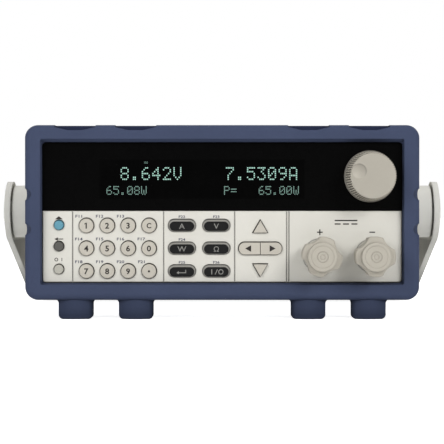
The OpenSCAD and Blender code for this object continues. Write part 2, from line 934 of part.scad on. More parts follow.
module terminal_base() {
    plate_w = terminal_pitch + collar_d + 6;
    plate_h = collar_d + 4;
    color("ivory")
    difference() {
        union() {
            front(panel_y + panel_t, base_plate_t)
                translate([(terminal_x[0] + terminal_x[1]) / 2, terminal_z])
                    rounded(plate_w, plate_h, 3);
            for (x = terminal_x)
                rod(x, terminal_z, panel_y - collar_proud, collar_proud + panel_t + cut, collar_d);
        }
        for (x = terminal_x)
            rod(x, terminal_z, panel_y - collar_proud - cut, 2 * cut + collar_proud + panel_t + base_plate_t,
                stud_d + fit);
    }
}

module terminal_studs() {
    nut_d = 11;
    nut_t = 4;
    stud_front = cap_front_y + 2 * cap_wall;
    stud_back = panel_y + panel_t + base_plate_t + nut_t + 6;
    color("goldenrod")
    for (x = terminal_x) {
        rod(x, terminal_z, stud_front, stud_back - stud_front, stud_d);
        translate([x, panel_y + panel_t + base_plate_t, terminal_z])
            rotate([-90, 0, 0])
                cylinder(h = nut_t, d = nut_d, $fn = 6);
    }
}

module terminal_washer(x) {
    color("silver")
    difference() {
        rod(x, terminal_z, cap_back_y, washer_t, washer_d);
        rod(x, terminal_z, cap_back_y - cut, washer_t + 2 * cut, stud_d + 2 * play);
    }
}

// Lobed cap: scalloped round the skirt and coned to a ringed face
module terminal_cap(x, turn) {
    nose_l = cap_l - cap_lobe_l;
    ring_rs = [1.7, 3.2];
    ring_w = 0.5;
    color("tan")
    translate([x, cap_front_y, terminal_z])
        rotate([0, turn, 0])
            difference() {
                turned(0, 0, 0)
                    polygon([[0, 0], [cap_face_d / 2 - 0.6, 0], [cap_face_d / 2, 0.6], [cap_d / 2, nose_l],
                        [cap_d / 2, cap_l - 1], [cap_d / 2 - 1, cap_l], [0, cap_l]]);
                for (a = [45 : 90 : 315])
                    rotate([0, a, 0])
                        rod(cap_valley_r + cap_scallop_r, 0, -cut, cap_l + 2 * cut, 2 * cap_scallop_r);
                rod(0, 0, cap_wall, cap_l, stud_d + 2 * play);
                for (r = ring_rs)
                    turned(0, 0, -cut)
                        translate([r, 0])
                            square([ring_w, cap_ring_depth + cut]);
            }
}

// Handle

// Arm from the side: a round hub end tapering to the grip end
module arm_outline() {
    taper = asin((arm_end_d / 2 - arm_tip_r) / grip_reach);
    translate([hub_y, mid_z])
        rotate(-arm_angle) {
            circle(d = arm_end_d);
            translate([grip_reach, 0])
                circle(arm_tip_r);
            polygon([for (s = [-1, 1], e = s < 0 ? [0, 1] : [1, 0])
                [e * grip_reach + (e == 0 ? arm_end_d / 2 : arm_tip_r) * sin(taper),
                    s * (e == 0 ? arm_end_d / 2 : arm_tip_r) * cos(taper)]]);
        }
}

// Shallow dome on the hub axis, rising to the right from x0
module hub_dome(x0, r) {
    sink = 0.5;
    crown_flat = 0.03;
    ball_r = (pow(r, 2) + pow(boss_rise, 2)) / (2 * boss_rise);
    translate([x0, hub_y, mid_z])
        rotate([0, 90, 0])
            rotate_extrude()
                intersection() {
                    translate([0, boss_rise - ball_r])
                        circle(ball_r);
                    translate([0, -sink])
                        square([r + sink / 2, boss_rise + sink - crown_flat]);
                }
}

module handle() {
    outer_x = arm_x + arm_t;
    color("gainsboro")
    difference() {
        union() {
            intersection() {
                union() {
                    for (s = [0, 1])
                        mirror([s, 0, 0])
                            side(arm_x, arm_t)
                                arm_outline();
                    side(-outer_x, 2 * outer_x)
                        translate([grip_y, grip_z])
                            rounded(grip_w, grip_h, grip_h / 2 - 0.05);
                }
                front(hub_y - arm_end_d, grip_reach + grip_w + 2 * arm_end_d)
                    translate([0, grip_z - grip_h / 2 + chassis_h / 2])
                        rounded(2 * outer_x, chassis_h, handle_corner_r);
            }
            for (s = [0, 1])
                mirror([s, 0, 0])
                    hub_dome(arm_x + arm_t, arm_end_d / 2 - 0.5);
        }
        for (s = [0, 1])
            mirror([s, 0, 0]) {
                hub_dome(arm_x, hub_d / 2 + 1);
                axle(arm_x - cut, pivot_tip_x - arm_x + play + cut, pivot_d + 2 * fit);
            }
    }
}

module handle_hubs() {
    hub_gap = 0.8;
    spigot_l = sheet_t + 2;
    color("silver")
    for (s = [0, 1])
        mirror([s, 0, 0]) {
            axle(chassis_w / 2, hub_l - hub_gap, hub_d);
            axle(chassis_w / 2 - spigot_l, spigot_l + cut, spigot_d);
            axle(chassis_w / 2, pivot_tip_x - chassis_w / 2, pivot_d);
        }
}

// Inner pieces

board_post_x = [-chassis_w / 2 + 14, 4];
board_post_y = [panel_y + 60, panel_y + 250];
sink_base_t = 8;
sink_x0 = 22;
sink_x1 = chassis_w / 2 - sheet_t - 8;
sink_z0 = tray_z;
sink_h = chassis_h - 2 * sheet_t - 8;
sink_y0 = fan_y - heatsink_l - 4;
transistor_t = 5;

module main_board() {
    board_margin = 5;
    board_z = tray_z + standoff_h;
    board_x0 = board_post_x[0] - board_margin;
    board_y0 = board_post_y[0] - board_margin;
    capacitor_d = 18;
    capacitor_h = 30;
    chip_side = 20;
    chip_t = 2;
    color("darkgreen") {
        translate([board_x0, board_y0, board_z])
            cube([board_post_x[1] - board_post_x[0] + 2 * board_margin,
                board_post_y[1] - board_post_y[0] + 2 * board_margin, board_t]);
        for (i = [0 : 2])
            translate([board_post_x[0] + 16 + i * 1.3 * capacitor_d, board_post_y[1] - 16, board_z])
                cylinder(h = board_t + capacitor_h, d = capacitor_d);
        translate([board_post_x[0] + 40, board_post_y[0] + 60, board_z])
            cube([chip_side, chip_side, board_t + chip_t]);
    }
}

module heatsink() {
    fin_t = 1.8;
    fin_pitch = (sink_h - fin_t) / (heatsink_fins - 1);
    color("darkgray")
    front(sink_y0, heatsink_l)
        translate([sink_x0, sink_z0]) {
            square([sink_base_t, sink_h]);
            for (i = [0 : heatsink_fins - 1])
                translate([0, i * fin_pitch])
                    square([sink_x1 - sink_x0, fin_t]);
        }
}

module power_transistors() {
    case_w = 16;
    case_h = 21;
    case_pitch = 30;
    color("dimgray")
    for (i = [0 : 3])
        translate([sink_x0 - transistor_t, sink_y0 + 20 + i * case_pitch, sink_z0 + sink_h / 2])
            cube([transistor_t, case_w, case_h]);
}

module transformer() {
    core = [62, 34, 52];
    coil = [40, 54, 36];
    centre_y = board_post_y[1] + 45;
    color("darkkhaki")
    translate([-chassis_w / 4, centre_y, tray_z]) {
        translate([-core[0] / 2, -core[1] / 2, 0])
            cube(core);
        translate([-coil[0] / 2, -coil[1] / 2, (core[2] - coil[2]) / 2])
            cube(coil);
    }
}

module fan_frame() {
    strut_w = 4;
    color("black") {
        difference() {
            front(fan_y, fan_d)
                translate([fan_x, mid_z])
                    rounded(fan_side, fan_side, 4);
            rod(fan_x, mid_z, fan_y - cut, fan_d + 2 * cut, fan_bore);
        }
        rod(fan_x, mid_z, fan_y + fan_d - fan_motor_l, fan_motor_l, fan_hub_d);
        front(fan_y + fan_d - strut_w, strut_w)
            for (a = [45, 135])
                translate([fan_x, mid_z])
                    rotate(a)
                        square([fan_bore + strut_w, strut_w], center = true);
    }
}

// Impeller: a cup hub with pitched blades between two faces
module fan_rotor() {
    rotor_l = fan_d - fan_motor_l - 2 * play - 1;
    rotor_y = fan_y + 1;
    tip_r = fan_bore / 2 - fan_tip_gap;
    blade_t = 2;
    blade_pitch = 38;
    color("black") {
        rod(fan_x, mid_z, rotor_y, rotor_l, fan_hub_d);
        intersection() {
            rod(fan_x, mid_z, rotor_y, rotor_l, 2 * tip_r);
            translate([fan_x, rotor_y + rotor_l / 2, mid_z])
                for (i = [0 : fan_blades - 1])
                    rotate([0, i * 360 / fan_blades, 0])
                        rotate([0, 0, blade_pitch])
                            translate([-blade_t / 2, -rotor_l, fan_hub_d / 2 - 2])
                                cube([blade_t, 2 * rotor_l, tip_r]);
        }
    }
}

// Rear connectors

inlet_x = -0.36 * chassis_w;
inlet_z = case_z0 + 20;
inlet_w = 27;
inlet_h = 20;
usb_x = -0.1084 * chassis_w;
usb_z = mid_z + 6;
usb_w = 12;
usb_h = 11;
serial_x = -0.3508 * chassis_w;
serial_z = usb_z;
serial_w = 19;
serial_h = 10;
gpib_x = -0.2576 * chassis_w;
gpib_z = case_z1 - 17;
gpib_w = 52;
gpib_h = 12;
sense_x = -0.1177 * chassis_w;
sense_z = inlet_z;
sense_w = 36;
sense_h = 12;
bnc_x = -0.028 * chassis_w;
bnc_z = usb_z;
bnc_thread_d = 9.4;
port_flange = 3;
port_flange_t = 2;
port_l = 12;
PORTS = [[inlet_x, inlet_z, inlet_w, inlet_h], [usb_x, usb_z, usb_w, usb_h],
    [serial_x, serial_z, serial_w, serial_h], [gpib_x, gpib_z, gpib_w, gpib_h],
    [sense_x, sense_z, sense_w, sense_h]];

// Connector body through the rear panel with its flange on the outside
module port_body(p, flange_x, flange_z, proud) {
    front(rear_y - sheet_t - port_l, sheet_t + port_l + proud)
        translate([p[0], p[1]])
            square([p[2], p[3]], center = true);
    front(rear_y, port_flange_t)
        translate([p[0], p[1]])
            rounded(p[2] + 2 * flange_x, p[3] + 2 * flange_z, 1);
}

module mains_inlet() {
    socket_w = 23;
    socket_h = 15.5;
    socket_depth = 13;
    pin = [2, 8, 4];
    pin_spread = 7;
    pin_row = 2;
    socket_y = rear_y + port_flange_t - socket_depth;
    color("black") {
        difference() {
            port_body(PORTS[0], 1.5, port_flange, port_flange_t);
            front(socket_y, socket_depth + cut)
                translate([inlet_x, inlet_z])
                    rounded(socket_w, socket_h, 2);
        }
        for (p = [[-pin_spread, -pin_row], [pin_spread, -pin_row], [0, pin_row]])
            translate([inlet_x + p[0] - pin[0] / 2, socket_y - cut, inlet_z + p[1] - pin[2] / 2])
                cube([pin[0], pin[1] + cut, pin[2]]);
    }
}

module usb_port() {
    tongue_w = 5.6;
    tongue_h = 3.2;
    socket_depth = 9;
    color("silver")
    difference() {
        port_body(PORTS[1], 1, 1, port_flange_t);
        front(rear_y + port_flange_t - socket_depth, socket_depth + cut)
            translate([usb_x, usb_z])
                difference() {
                    square([usb_w - 3, usb_h - 3], center = true);
                    square([tongue_w, tongue_h], center = true);
                }
    }
}

// D-shaped socket face: a trapezoid shell with contact holes in two rows
module d_socket(p, shell_w, shell_h, columns, pitch, flange_x) {
    shell_proud = 5;
    slant = 1.2;
    pin_d = 1.4;
    pin_depth = 4;
    difference() {
        union() {
            port_body(p, flange_x, 0.8, port_flange_t);
            front(rear_y, port_flange_t + shell_proud)
                translate([p[0], p[1]])
                    polygon([[-shell_w / 2 + slant, -shell_h / 2], [shell_w / 2 - slant, -shell_h / 2],
                        [shell_w / 2, shell_h / 2], [-shell_w / 2, shell_h / 2]]);
        }
        for (row = [-1, 1], i = [0 : columns - 1])
            rod(p[0] + (i - (columns - 1) / 2) * pitch, p[1] + row * pitch / 2,
                rear_y + port_flange_t + shell_proud - pin_depth, pin_depth + cut, pin_d);
    }
}

module serial_port() {
    color("silver")
    d_socket(PORTS[2], 16.5, 8.2, 4, 2.75, 6);
}

module gpib_port() {
    color("silver")
    d_socket(PORTS[3], 46, 9, 12, 3, 6);
}

module sense_block() {
    ways = 6;
    way_pitch = 5.08;
    way_d = 3;
    way_depth = 6;
    block_proud = 8;
    color("green")
    difference() {
        port_body(PORTS[4], 0.8, 0.8, block_proud);
        for (i = [0 : ways - 1])
            rod(sense_x + (i - (ways - 1) / 2) * way_pitch, sense_z, rear_y + block_proud - way_depth,
                way_depth + cut, way_d);
    }
}

module bnc_jack() {
    jack_d = 9.7;
    jack_l = 10.5;
    bore_d = 8.2;
    bore_depth = 8;
    pin_d = 2;
    lug_d = 2;
    nut_d = 14;
    nut_t = 2.5;
    color("silver") {
        difference() {
            union() {
                rod(bnc_x, bnc_z, rear_y - sheet_t - port_l, sheet_t + port_l + cut, bnc_thread_d);
                rod(bnc_x, bnc_z, rear_y, jack_l, jack_d);
                translate([bnc_x - jack_d / 2 - 0.5, rear_y + jack_l - 4, bnc_z])
                    rotate([0, 90, 0])
                        cylinder(h = jack_d + 1, d = lug_d);
                translate([bnc_x, rear_y, bnc_z])
                    rotate([-90, 0, 0])
                        cylinder(h = nut_t, d = nut_d, $fn = 6);
            }
            rod(bnc_x, bnc_z, rear_y + jack_l - bore_depth, bore_depth + cut, bore_d);
        }
        rod(bnc_x, bnc_z, rear_y + jack_l - bore_depth - cut, bore_depth, pin_d);
    }
}

// Pan head screw along Y with a cross recess in its head at the rear
module screw() {
    recess_w = 0.9;
    recess_l = 3;
    recess_depth = 1.1;
    head_edge_r = 0.9;
    difference() {
        union() {
            rod(0, 0, -screw_l, screw_l + cut, screw_d);
            translate([0, screw_head_t, 0])
                mirror([0, 1, 0])
                    turned(0, 0, 0)
                        rolled_half(screw_head_d / 2, screw_head_t, head_edge_r);
        }
        for (a = [0, 90])
            front(screw_head_t - recess_depth, recess_depth + cut)
                rotate(a)
                    square([recess_l, recess_w], center = true);
    }
}

module screws() {
    color("silver") {
        for (s = [-1, 1], z = screw_zs)
            translate([s * screw_x, rear_y, z])
                screw();
        for (s = [-1, 1], y = screw_ys)
            translate([s * chassis_w / 2, y, screw_zs[0]])
                rotate([0, 0, -s * 90])
                    screw();
    }
}

chassis_tray();
top_cover();
rear_panel();
front_bumper();
rear_bumper();
front_panel();
display_window();
vfd_tube();
display_board();
keypad_board();
key_mat();
encoder();
encoder_shaft();
knob();
color("skyblue") key("shift_key");  // shift_key
color("dimgray") key("local_key");  // local_key
color("white") key("power_button");  // power_button
for (name = [for (r = NUMBER_ROWS, n = r) n])
    color("antiquewhite") key(name);
for (name = [for (r = OVAL_ROWS, n = r) n])
    color("dimgray") key(name);
for (name = ["up_key", "down_key", "left_key", "right_key"])
    color("antiquewhite") key(name);
terminal_base();
terminal_studs();
terminal_washer(terminal_x[0]);  // plus_washer
terminal_washer(terminal_x[1]);  // minus_washer
terminal_cap(terminal_x[0], plus_turn);  // plus_cap
terminal_cap(terminal_x[1], 0);  // minus_cap
handle();
handle_hubs();
main_board();
heatsink();
power_transistors();
transformer();
fan_frame();
fan_rotor();
mains_inlet();
usb_port();
serial_port();
gpib_port();
sense_block();
bnc_jack();
screws();
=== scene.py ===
"""Looks of a half-rack bench DC electronic load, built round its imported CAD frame."""

import math

import bmesh
import bpy
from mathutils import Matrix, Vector


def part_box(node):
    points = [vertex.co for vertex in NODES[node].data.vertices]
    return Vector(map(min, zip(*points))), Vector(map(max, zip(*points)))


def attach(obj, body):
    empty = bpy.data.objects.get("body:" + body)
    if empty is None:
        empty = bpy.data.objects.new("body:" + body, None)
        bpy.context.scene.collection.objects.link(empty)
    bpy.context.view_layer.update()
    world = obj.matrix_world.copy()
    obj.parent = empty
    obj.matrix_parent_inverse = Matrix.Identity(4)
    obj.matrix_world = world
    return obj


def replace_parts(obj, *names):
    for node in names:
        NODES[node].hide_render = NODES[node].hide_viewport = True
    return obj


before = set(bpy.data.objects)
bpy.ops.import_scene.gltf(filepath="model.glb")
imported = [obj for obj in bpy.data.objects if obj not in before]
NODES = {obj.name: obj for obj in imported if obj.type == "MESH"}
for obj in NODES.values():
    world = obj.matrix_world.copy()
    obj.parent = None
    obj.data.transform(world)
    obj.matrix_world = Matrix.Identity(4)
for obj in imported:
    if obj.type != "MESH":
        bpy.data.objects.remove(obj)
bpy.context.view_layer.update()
MM = 0.001

NUMBER_KEYS = ["key_%d" % i for i in range(10)] + ["key_point", "key_escape"]
OVAL_KEYS = ["mode_key_1", "mode_key_2", "mode_key_3", "mode_key_4", "enter_key", "input_key"]
ARROW_KEYS = ["up_key", "down_key", "left_key", "right_key"]


def middle(node):
    """Centre of a node's box."""
    low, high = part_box(node)
    return (low + high) / 2


def face_middle(node):
    """Centre of the foremost face of a node."""
    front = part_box(node)[0].y
    points = [v.co for v in NODES[node].data.vertices if v.co.y < front + 0.0002]
    low = Vector(min(p[i] for p in points) for i in range(3))
    high = Vector(max(p[i] for p in points) for i in range(3))
    return (low + high) / 2


def srgb(r, g, b):
    """Linear colour of an 8-bit display colour."""
    def line(c):
        c /= 255
        return c / 12.92 if c <= 0.04045 else ((c + 0.055) / 1.055) ** 2.4
    return (line(r), line(g), line(b), 1.0)


def scaled(colour, k):
    """A colour made lighter or darker."""
    return tuple(min(1.0, c * k) for c in colour[:3]) + (1.0,)


SPLIT_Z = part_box("display_window")[0].z

# Camera: square on, a little above the line between window and keypad, aimed a little below it
CAMERA_X, CAMERA_Y, CAMERA_Z = -0.0001, -1.0748, SPLIT_Z + 0.0038
FRONT_Y, AIM_Z = -0.1748, SPLIT_Z - 0.0064
LENS = 128.1
camera_data = bpy.data.cameras.new("camera")
camera_data.lens = LENS
camera_data.sensor_width = 36
camera_data.clip_start = 0.01
camera = bpy.data.objects.new("camera", camera_data)
camera.location = (CAMERA_X, CAMERA_Y, CAMERA_Z)
camera.rotation_euler = (math.pi / 2 - math.atan((CAMERA_Z - AIM_Z) / (FRONT_Y - CAMERA_Y)), 0, 0)
bpy.context.scene.collection.objects.link(camera)
bpy.context.scene.camera = camera
bpy.context.scene.view_settings.view_transform = "Standard"


# Materials

class Graph:
    """A material's nodes, with short ways to add the ones used here."""

    def __init__(self, name):
        self.mat = bpy.data.materials.new(name)
        self.mat.use_nodes = True
        self.tree = self.mat.node_tree
        self.tree.nodes.clear()
        self.out = self.add("ShaderNodeOutputMaterial")
        self.place = self.add("ShaderNodeTexCoord").outputs["Object"]

    def add(self, kind, **settings):
        node = self.tree.nodes.new(kind)
        for key, value in settings.items():
            setattr(node, key, value)
        return node

    def link(self, source, target):
        self.tree.links.new(source, target)

    def feed(self, socket, value):
        """Link a socket to a value that is an output, or set it."""
        if isinstance(value, bpy.types.NodeSocket):
            self.link(value, socket)
        else:
            socket.default_value = value

    def noise(self, scale, detail=3.0, rough=0.5, place=None):
        node = self.add("ShaderNodeTexNoise")
        node.inputs["Scale"].default_value = scale
        node.inputs["Detail"].default_value = detail
        node.inputs["Roughness"].default_value = rough
        self.link(place or self.place, node.inputs["Vector"])
        return node.outputs["Fac"]

    def stretched(self, scale):
        """The object's coordinates, stretched along its axes."""
        node = self.add("ShaderNodeMapping")
        node.inputs["Scale"].default_value = scale
        self.link(self.place, node.inputs["Vector"])
        return node.outputs["Vector"]

    def remap(self, value, low, high, to_low=0.0, to_high=1.0):
        node = self.add("ShaderNodeMapRange")
        self.feed(node.inputs["Value"], value)
        for socket, number in zip(("From Min", "From Max", "To Min", "To Max"), (low, high, to_low, to_high)):
            node.inputs[socket].default_value = number
        return node.outputs["Result"]

    def math(self, operation, a, b=0.0):
        node = self.add("ShaderNodeMath", operation=operation)
        self.feed(node.inputs[0], a)
        self.feed(node.inputs[1], b)
        return node.outputs[0]

    def axes(self, place=None):
        node = self.add("ShaderNodeSeparateXYZ")
        self.link(place or self.place, node.inputs[0])
        return node.outputs

    def mix(self, factor, a, b):
        node = self.add("ShaderNodeMix", data_type="RGBA")
        self.feed(node.inputs[0], factor)
        self.feed(node.inputs[6], a)
        self.feed(node.inputs[7], b)
        return node.outputs[2]

    def near(self, axis, centre, half, soft=0.00005):
        """One within half of a centre along an axis, and zero outside."""
        away = self.math("ABSOLUTE", self.math("SUBTRACT", self.axes()[axis], centre))
        return self.remap(away, half - soft, half + soft, 1.0, 0.0)

    def edges(self, radius):
        """Normal rounded over the edges, and how much each place lies on one."""
        bevel = self.add("ShaderNodeBevel", samples=6)
        bevel.inputs["Radius"].default_value = radius
        normal = self.add("ShaderNodeNewGeometry").outputs["Normal"]
        dot = self.add("ShaderNodeVectorMath", operation="DOT_PRODUCT")
        self.link(bevel.outputs[0], dot.inputs[0])
        self.link(normal, dot.inputs[1])
        return bevel.outputs[0], self.remap(dot.outputs["Value"], 0.995, 0.75)

    def bump(self, height, strength, distance, normal=None):
        node = self.add("ShaderNodeBump")
        node.inputs["Strength"].default_value = strength
        node.inputs["Distance"].default_value = distance
        self.link(height, node.inputs["Height"])
        if normal:
            self.link(normal, node.inputs["Normal"])
        return node.outputs[0]

    def surface(self, colour, rough, normal=None, **numbers):
        """A principled surface; numbers are set straight on its sockets."""
        node = self.add("ShaderNodeBsdfPrincipled")
        self.feed(node.inputs["Base Color"], colour)
        self.feed(node.inputs["Roughness"], rough)
        if normal:
            self.link(normal, node.inputs["Normal"])
        for key, value in numbers.items():
            node.inputs[key.replace("_", " ")].default_value = value
        return node.outputs[0]

    def done(self, shader):
        self.link(shader, self.out.inputs["Surface"])
        return self.mat


def hollow_painted_shade(distance, strength, share=None):
    """Painted shade that darkens hollows, by how closed in they are and by the share a place takes."""
    def paint(g, tint):
        around = g.add("ShaderNodeAmbientOcclusion", samples=8)
        around.inputs["Distance"].default_value = distance
        closed = g.remap(around.outputs["AO"], 0.25, 0.95, strength, 0.0)
        if share:
            closed = g.math("MULTIPLY", closed, share(g))
        shade = g.add("ShaderNodeHueSaturation")
        g.link(g.math("SUBTRACT", 1.0, closed), shade.inputs["Value"])
        g.link(tint, shade.inputs["Color"])
        return shade.outputs[0]
    return paint


def moulded(name, colour, rough=0.5, grain=0.25, grain_scale=2200, mottle=0.05, edge=0.0003, wear=1.06,
            specular=0.35, paint=None):
    """Moulded plastic, rubber or textured paint: fine grain, soft mottling and rubbed edges."""
    g = Graph(name)
    rounded, on_edge = g.edges(edge)
    cloud = g.noise(28, 4, 0.55)
    speck = g.noise(700, 2, 0.5)
    tint = g.mix(g.remap(cloud, 0.3, 0.7), scaled(colour, 1 - mottle), scaled(colour, 1 + mottle))
    tint = g.mix(g.math("MULTIPLY", g.remap(speck, 0.45, 0.8), 0.5), tint, scaled(colour, 1 - 1.5 * mottle))
    if paint:
        tint = paint(g, tint)
    rubbed = g.math("MULTIPLY", on_edge, g.remap(g.noise(160, 3), 0.35, 0.65, 0.3, 1.0))
    lifted = g.add("ShaderNodeHueSaturation")
    lifted.inputs["Value"].default_value = wear
    g.link(tint, lifted.inputs["Color"])
    tint = g.mix(rubbed, tint, lifted.outputs[0])
    smooth = g.remap(g.noise(95, 3), 0.3, 0.7, rough - 0.05, rough + 0.05)
    normal = g.bump(g.noise(grain_scale, 2, 0.6), grain, 0.00006, rounded)
    return g.done(g.surface(tint, smooth, normal, Specular_IOR_Level=specular))


def metal(name, colour, rough=0.3, grain=(1, 1, 1), grain_scale=900, edge=0.0002, streak=0.08):
    """Bare or plated metal with drawn streaks along the axis of the smallest grain."""
    g = Graph(name)
    rounded, on_edge = g.edges(edge)
    lines = g.noise(grain_scale, 3, 0.6, g.stretched(grain))
    stain = g.noise(45, 4, 0.6)
    tint = g.mix(g.remap(lines, 0.3, 0.7), scaled(colour, 1 - streak), scaled(colour, 1 + streak))
    tint = g.mix(g.math("MULTIPLY", g.remap(stain, 0.5, 0.75), 0.35), tint, scaled(colour, 0.8))
    tint = g.mix(g.math("MULTIPLY", on_edge, 0.5), tint, scaled(colour, 1.2))
    smooth = g.remap(lines, 0.25, 0.75, rough - 0.08, rough + 0.1)
    normal = g.bump(lines, 0.12, 0.00003, rounded)
    return g.done(g.surface(tint, smooth, normal, Metallic=1.0))


def bumper_painted_shade(g, tint):
    """Painted shade that darkens the bumpers' hollows, pockets and feet, and the scoops in their sides."""
    low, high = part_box("front_bumper")
    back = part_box("rear_bumper")[1].y
    x, y, z = g.axes()
    side = g.math("ABSOLUTE", x)

    # Painted shade in the scoops, deepest towards their inner ends
    scoop_w, scoop_r, scoop_rise, soft, sunk = 0.0046, 0.0034, 0.01, 0.0002, 0.0004
    hub_z, inner = middle("handle_hubs").z, high.x - scoop_w
    scoop = g.math("ADD", g.near(2, hub_z + scoop_rise, scoop_r, soft),
                   g.near(2, hub_z - scoop_rise, scoop_r, soft))
    scoop = g.math("MULTIPLY", scoop, g.remap(y, low.y + sunk, low.y + 2 * sunk))
    scoop = g.math("MULTIPLY", scoop, g.remap(side, inner, inner + sunk))
    scoop = g.math("MULTIPLY", scoop, g.remap(side, inner, high.x, 0.9, 0.4))
    tint = g.mix(scoop, tint, srgb(42, 50, 72))

    # Painted shade inside the pockets along the bumpers' top
    inner_x, outer_x, bow_r, pocket_w, pocket_depth = 0.0494, 0.084, 0.06, 0.0235, 0.003
    away = g.math("MINIMUM", g.math("ABSOLUTE", g.math("SUBTRACT", side, inner_x)),
                  g.math("ABSOLUTE", g.math("SUBTRACT", side, outer_x)))
    depth = g.math("MINIMUM", g.math("SUBTRACT", y, low.y), g.math("SUBTRACT", back, y))
    bow = g.math("DIVIDE", g.math("MULTIPLY", away, away), 2 * bow_r)
    thin = 0.0001
    pocket = g.math("MULTIPLY", g.remap(away, pocket_w / 2 + thin, pocket_w / 2),
                    g.remap(g.math("SUBTRACT", depth, bow), -thin, thin))
    pocket = g.math("MULTIPLY", pocket, g.remap(z, high.z - pocket_depth - thin, high.z - pocket_depth))
    pocket = g.math("MULTIPLY", pocket, g.remap(z, high.z - thin, high.z - 2 * thin))
    tint = g.mix(pocket, tint, srgb(54, 62, 91))

    # Painted shade on the feet, darkest towards their sides
    foot_h, foot_core, foot_half, blend, between = 0.011, 0.0074, 0.0096, 0.001, (inner_x + outer_x) / 2
    outer = g.math("MULTIPLY", g.remap(g.math("SUBTRACT", outer_x, side), foot_core, foot_half),
                   g.remap(side, between, between + blend))
    shaded = g.math("MAXIMUM", outer, g.remap(g.math("SUBTRACT", inner_x, side), foot_core, foot_half))
    foot = g.mix(shaded, scaled(SLATE, 0.86), scaled(SLATE, 0.35))
    tint = g.mix(g.remap(z, foot_h, foot_h - blend), tint, foot)

    # Painted shade of hollows over the bumper, much weaker on its sides beyond the opening
    frame_w = 0.0095
    wall = high.x - frame_w

    def share(g):
        return g.remap(side, wall - 2 * thin, wall - thin, 1.0, 0.15)
    return hollow_painted_shade(0.012, 0.75, share)(g, tint)


def below_hubs(g):
    """The part of the handle that lies below its hubs at rest, where painted shade darkens the arms."""
    hub_low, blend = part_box("handle_hubs")[0].z, 0.002
    return g.remap(g.axes()[2], hub_low, hub_low - blend)


CREAM = srgb(206, 204, 196)
BEIGE = srgb(160, 155, 144)
KEY_CREAM = srgb(182, 177, 166)
SLATE = srgb(62, 70, 93)
GREY = srgb(219, 218, 211)

# Painted shade darkens the bumpers' hollows, scoops, pockets and feet
rubber = moulded("bumper_rubber", SLATE, 0.7, 0.35, 1500, 0.05, 0.0005, 1.1, 0.06, bumper_painted_shade)
# Painted shade darkens the panel near key holes, gaps and the lip
panel_plastic = moulded("panel_plastic", CREAM, 0.55, 0.3, 1900, 0.02, 0.0004, 1.05, 0.25,
                        hollow_painted_shade(0.001, 0.85))
# Painted shade darkens the caps' grooves
cap_plastic = moulded("cap_plastic", scaled(BEIGE, 1.12), 0.5, 0.2, 2400, 0.03, 0.0003, 1.07, 0.3,
                      hollow_painted_shade(0.0008, 0.45))
hub_plastic = moulded("hub_plastic", GREY, 0.5, 0.25, 2000, 0.03, 0.0012, 1.04, 0.3)
# Painted shade darkens the handle's arms below the hubs, where they face the case
handle_plastic = moulded("handle_plastic", GREY, 0.5, 0.25, 2000, 0.03, 0.0012, 1.04, 0.3,
                         hollow_painted_shade(0.03, 0.7, below_hubs))
# Painted shade darkens the keys round their edges
key_cream = moulded("key_cream", KEY_CREAM, 0.5, 0.15, 2600, 0.03, 0.00025, 1.06, 0.3,
                    hollow_painted_shade(0.001, 0.85))
key_blue = moulded("key_blue", srgb(88, 142, 160), 0.45, 0.15, 2600, 0.04, 0.00025, 1.1, 0.3)
key_grey = moulded("key_grey", srgb(78, 77, 73), 0.5, 0.15, 2600, 0.04, 0.00025, 1.15, 0.3)
key_white = moulded("key_white", srgb(170, 168, 158), 0.45, 0.15, 2600, 0.03, 0.00025, 1.05, 0.3)
case_paint = moulded("case_paint", srgb(200, 198, 190), 0.65, 0.5, 1100, 0.012, 0.0003, 1.06, 0.2)
black_plastic = moulded("black_plastic", srgb(32, 32, 34), 0.5, 0.3, 1800, 0.08, 0.0003, 1.5, 0.35)
mat_rubber = moulded("mat_rubber", srgb(70, 70, 72), 0.7, 0.3, 1500, 0.06, 0.0003, 1.15, 0.2)
block_green = moulded("block_green", srgb(52, 128, 74), 0.45, 0.2, 2000, 0.06, 0.0003, 1.15, 0.35)
nickel = metal("nickel", srgb(200, 198, 192), 0.28)
zinc = metal("sheet_steel", srgb(188, 190, 192), 0.36, (1, 0.05, 1), 500)
brass = metal("stud_brass", srgb(206, 176, 104), 0.28, (1, 0.1, 1), 700)
alloy = metal("sink_alloy", srgb(196, 198, 200), 0.4, (1, 0.02, 1), 600)


def window_material():
    """Black filter window, its readout field a shade deeper."""
    g = Graph("window_black")
    rounded, on_edge = g.edges(0.0003)
    field_x, field_z, half_w, half_h, soft = -0.0116, SPLIT_Z + 0.018, 0.0587, 0.0112, 0.0004
    field = g.math("MULTIPLY", g.near(0, field_x, half_w, soft), g.near(2, field_z, half_h, soft))
    tint = g.mix(field, srgb(5, 5, 5), srgb(2, 2, 2))
    haze = g.noise(60, 4, 0.6)
    tint = g.mix(g.math("MULTIPLY", g.remap(haze, 0.5, 0.8), 0.35), tint, srgb(8, 8, 8))
    tint = g.mix(g.math("MULTIPLY", on_edge, 0.6), tint, srgb(40, 40, 40))
    smooth = g.remap(g.noise(220, 3), 0.3, 0.7, 0.24, 0.32)
    normal = g.bump(g.noise(2600, 2), 0.06, 0.00002, rounded)
    return g.done(g.surface(tint, smooth, normal, Specular_IOR_Level=0.015))


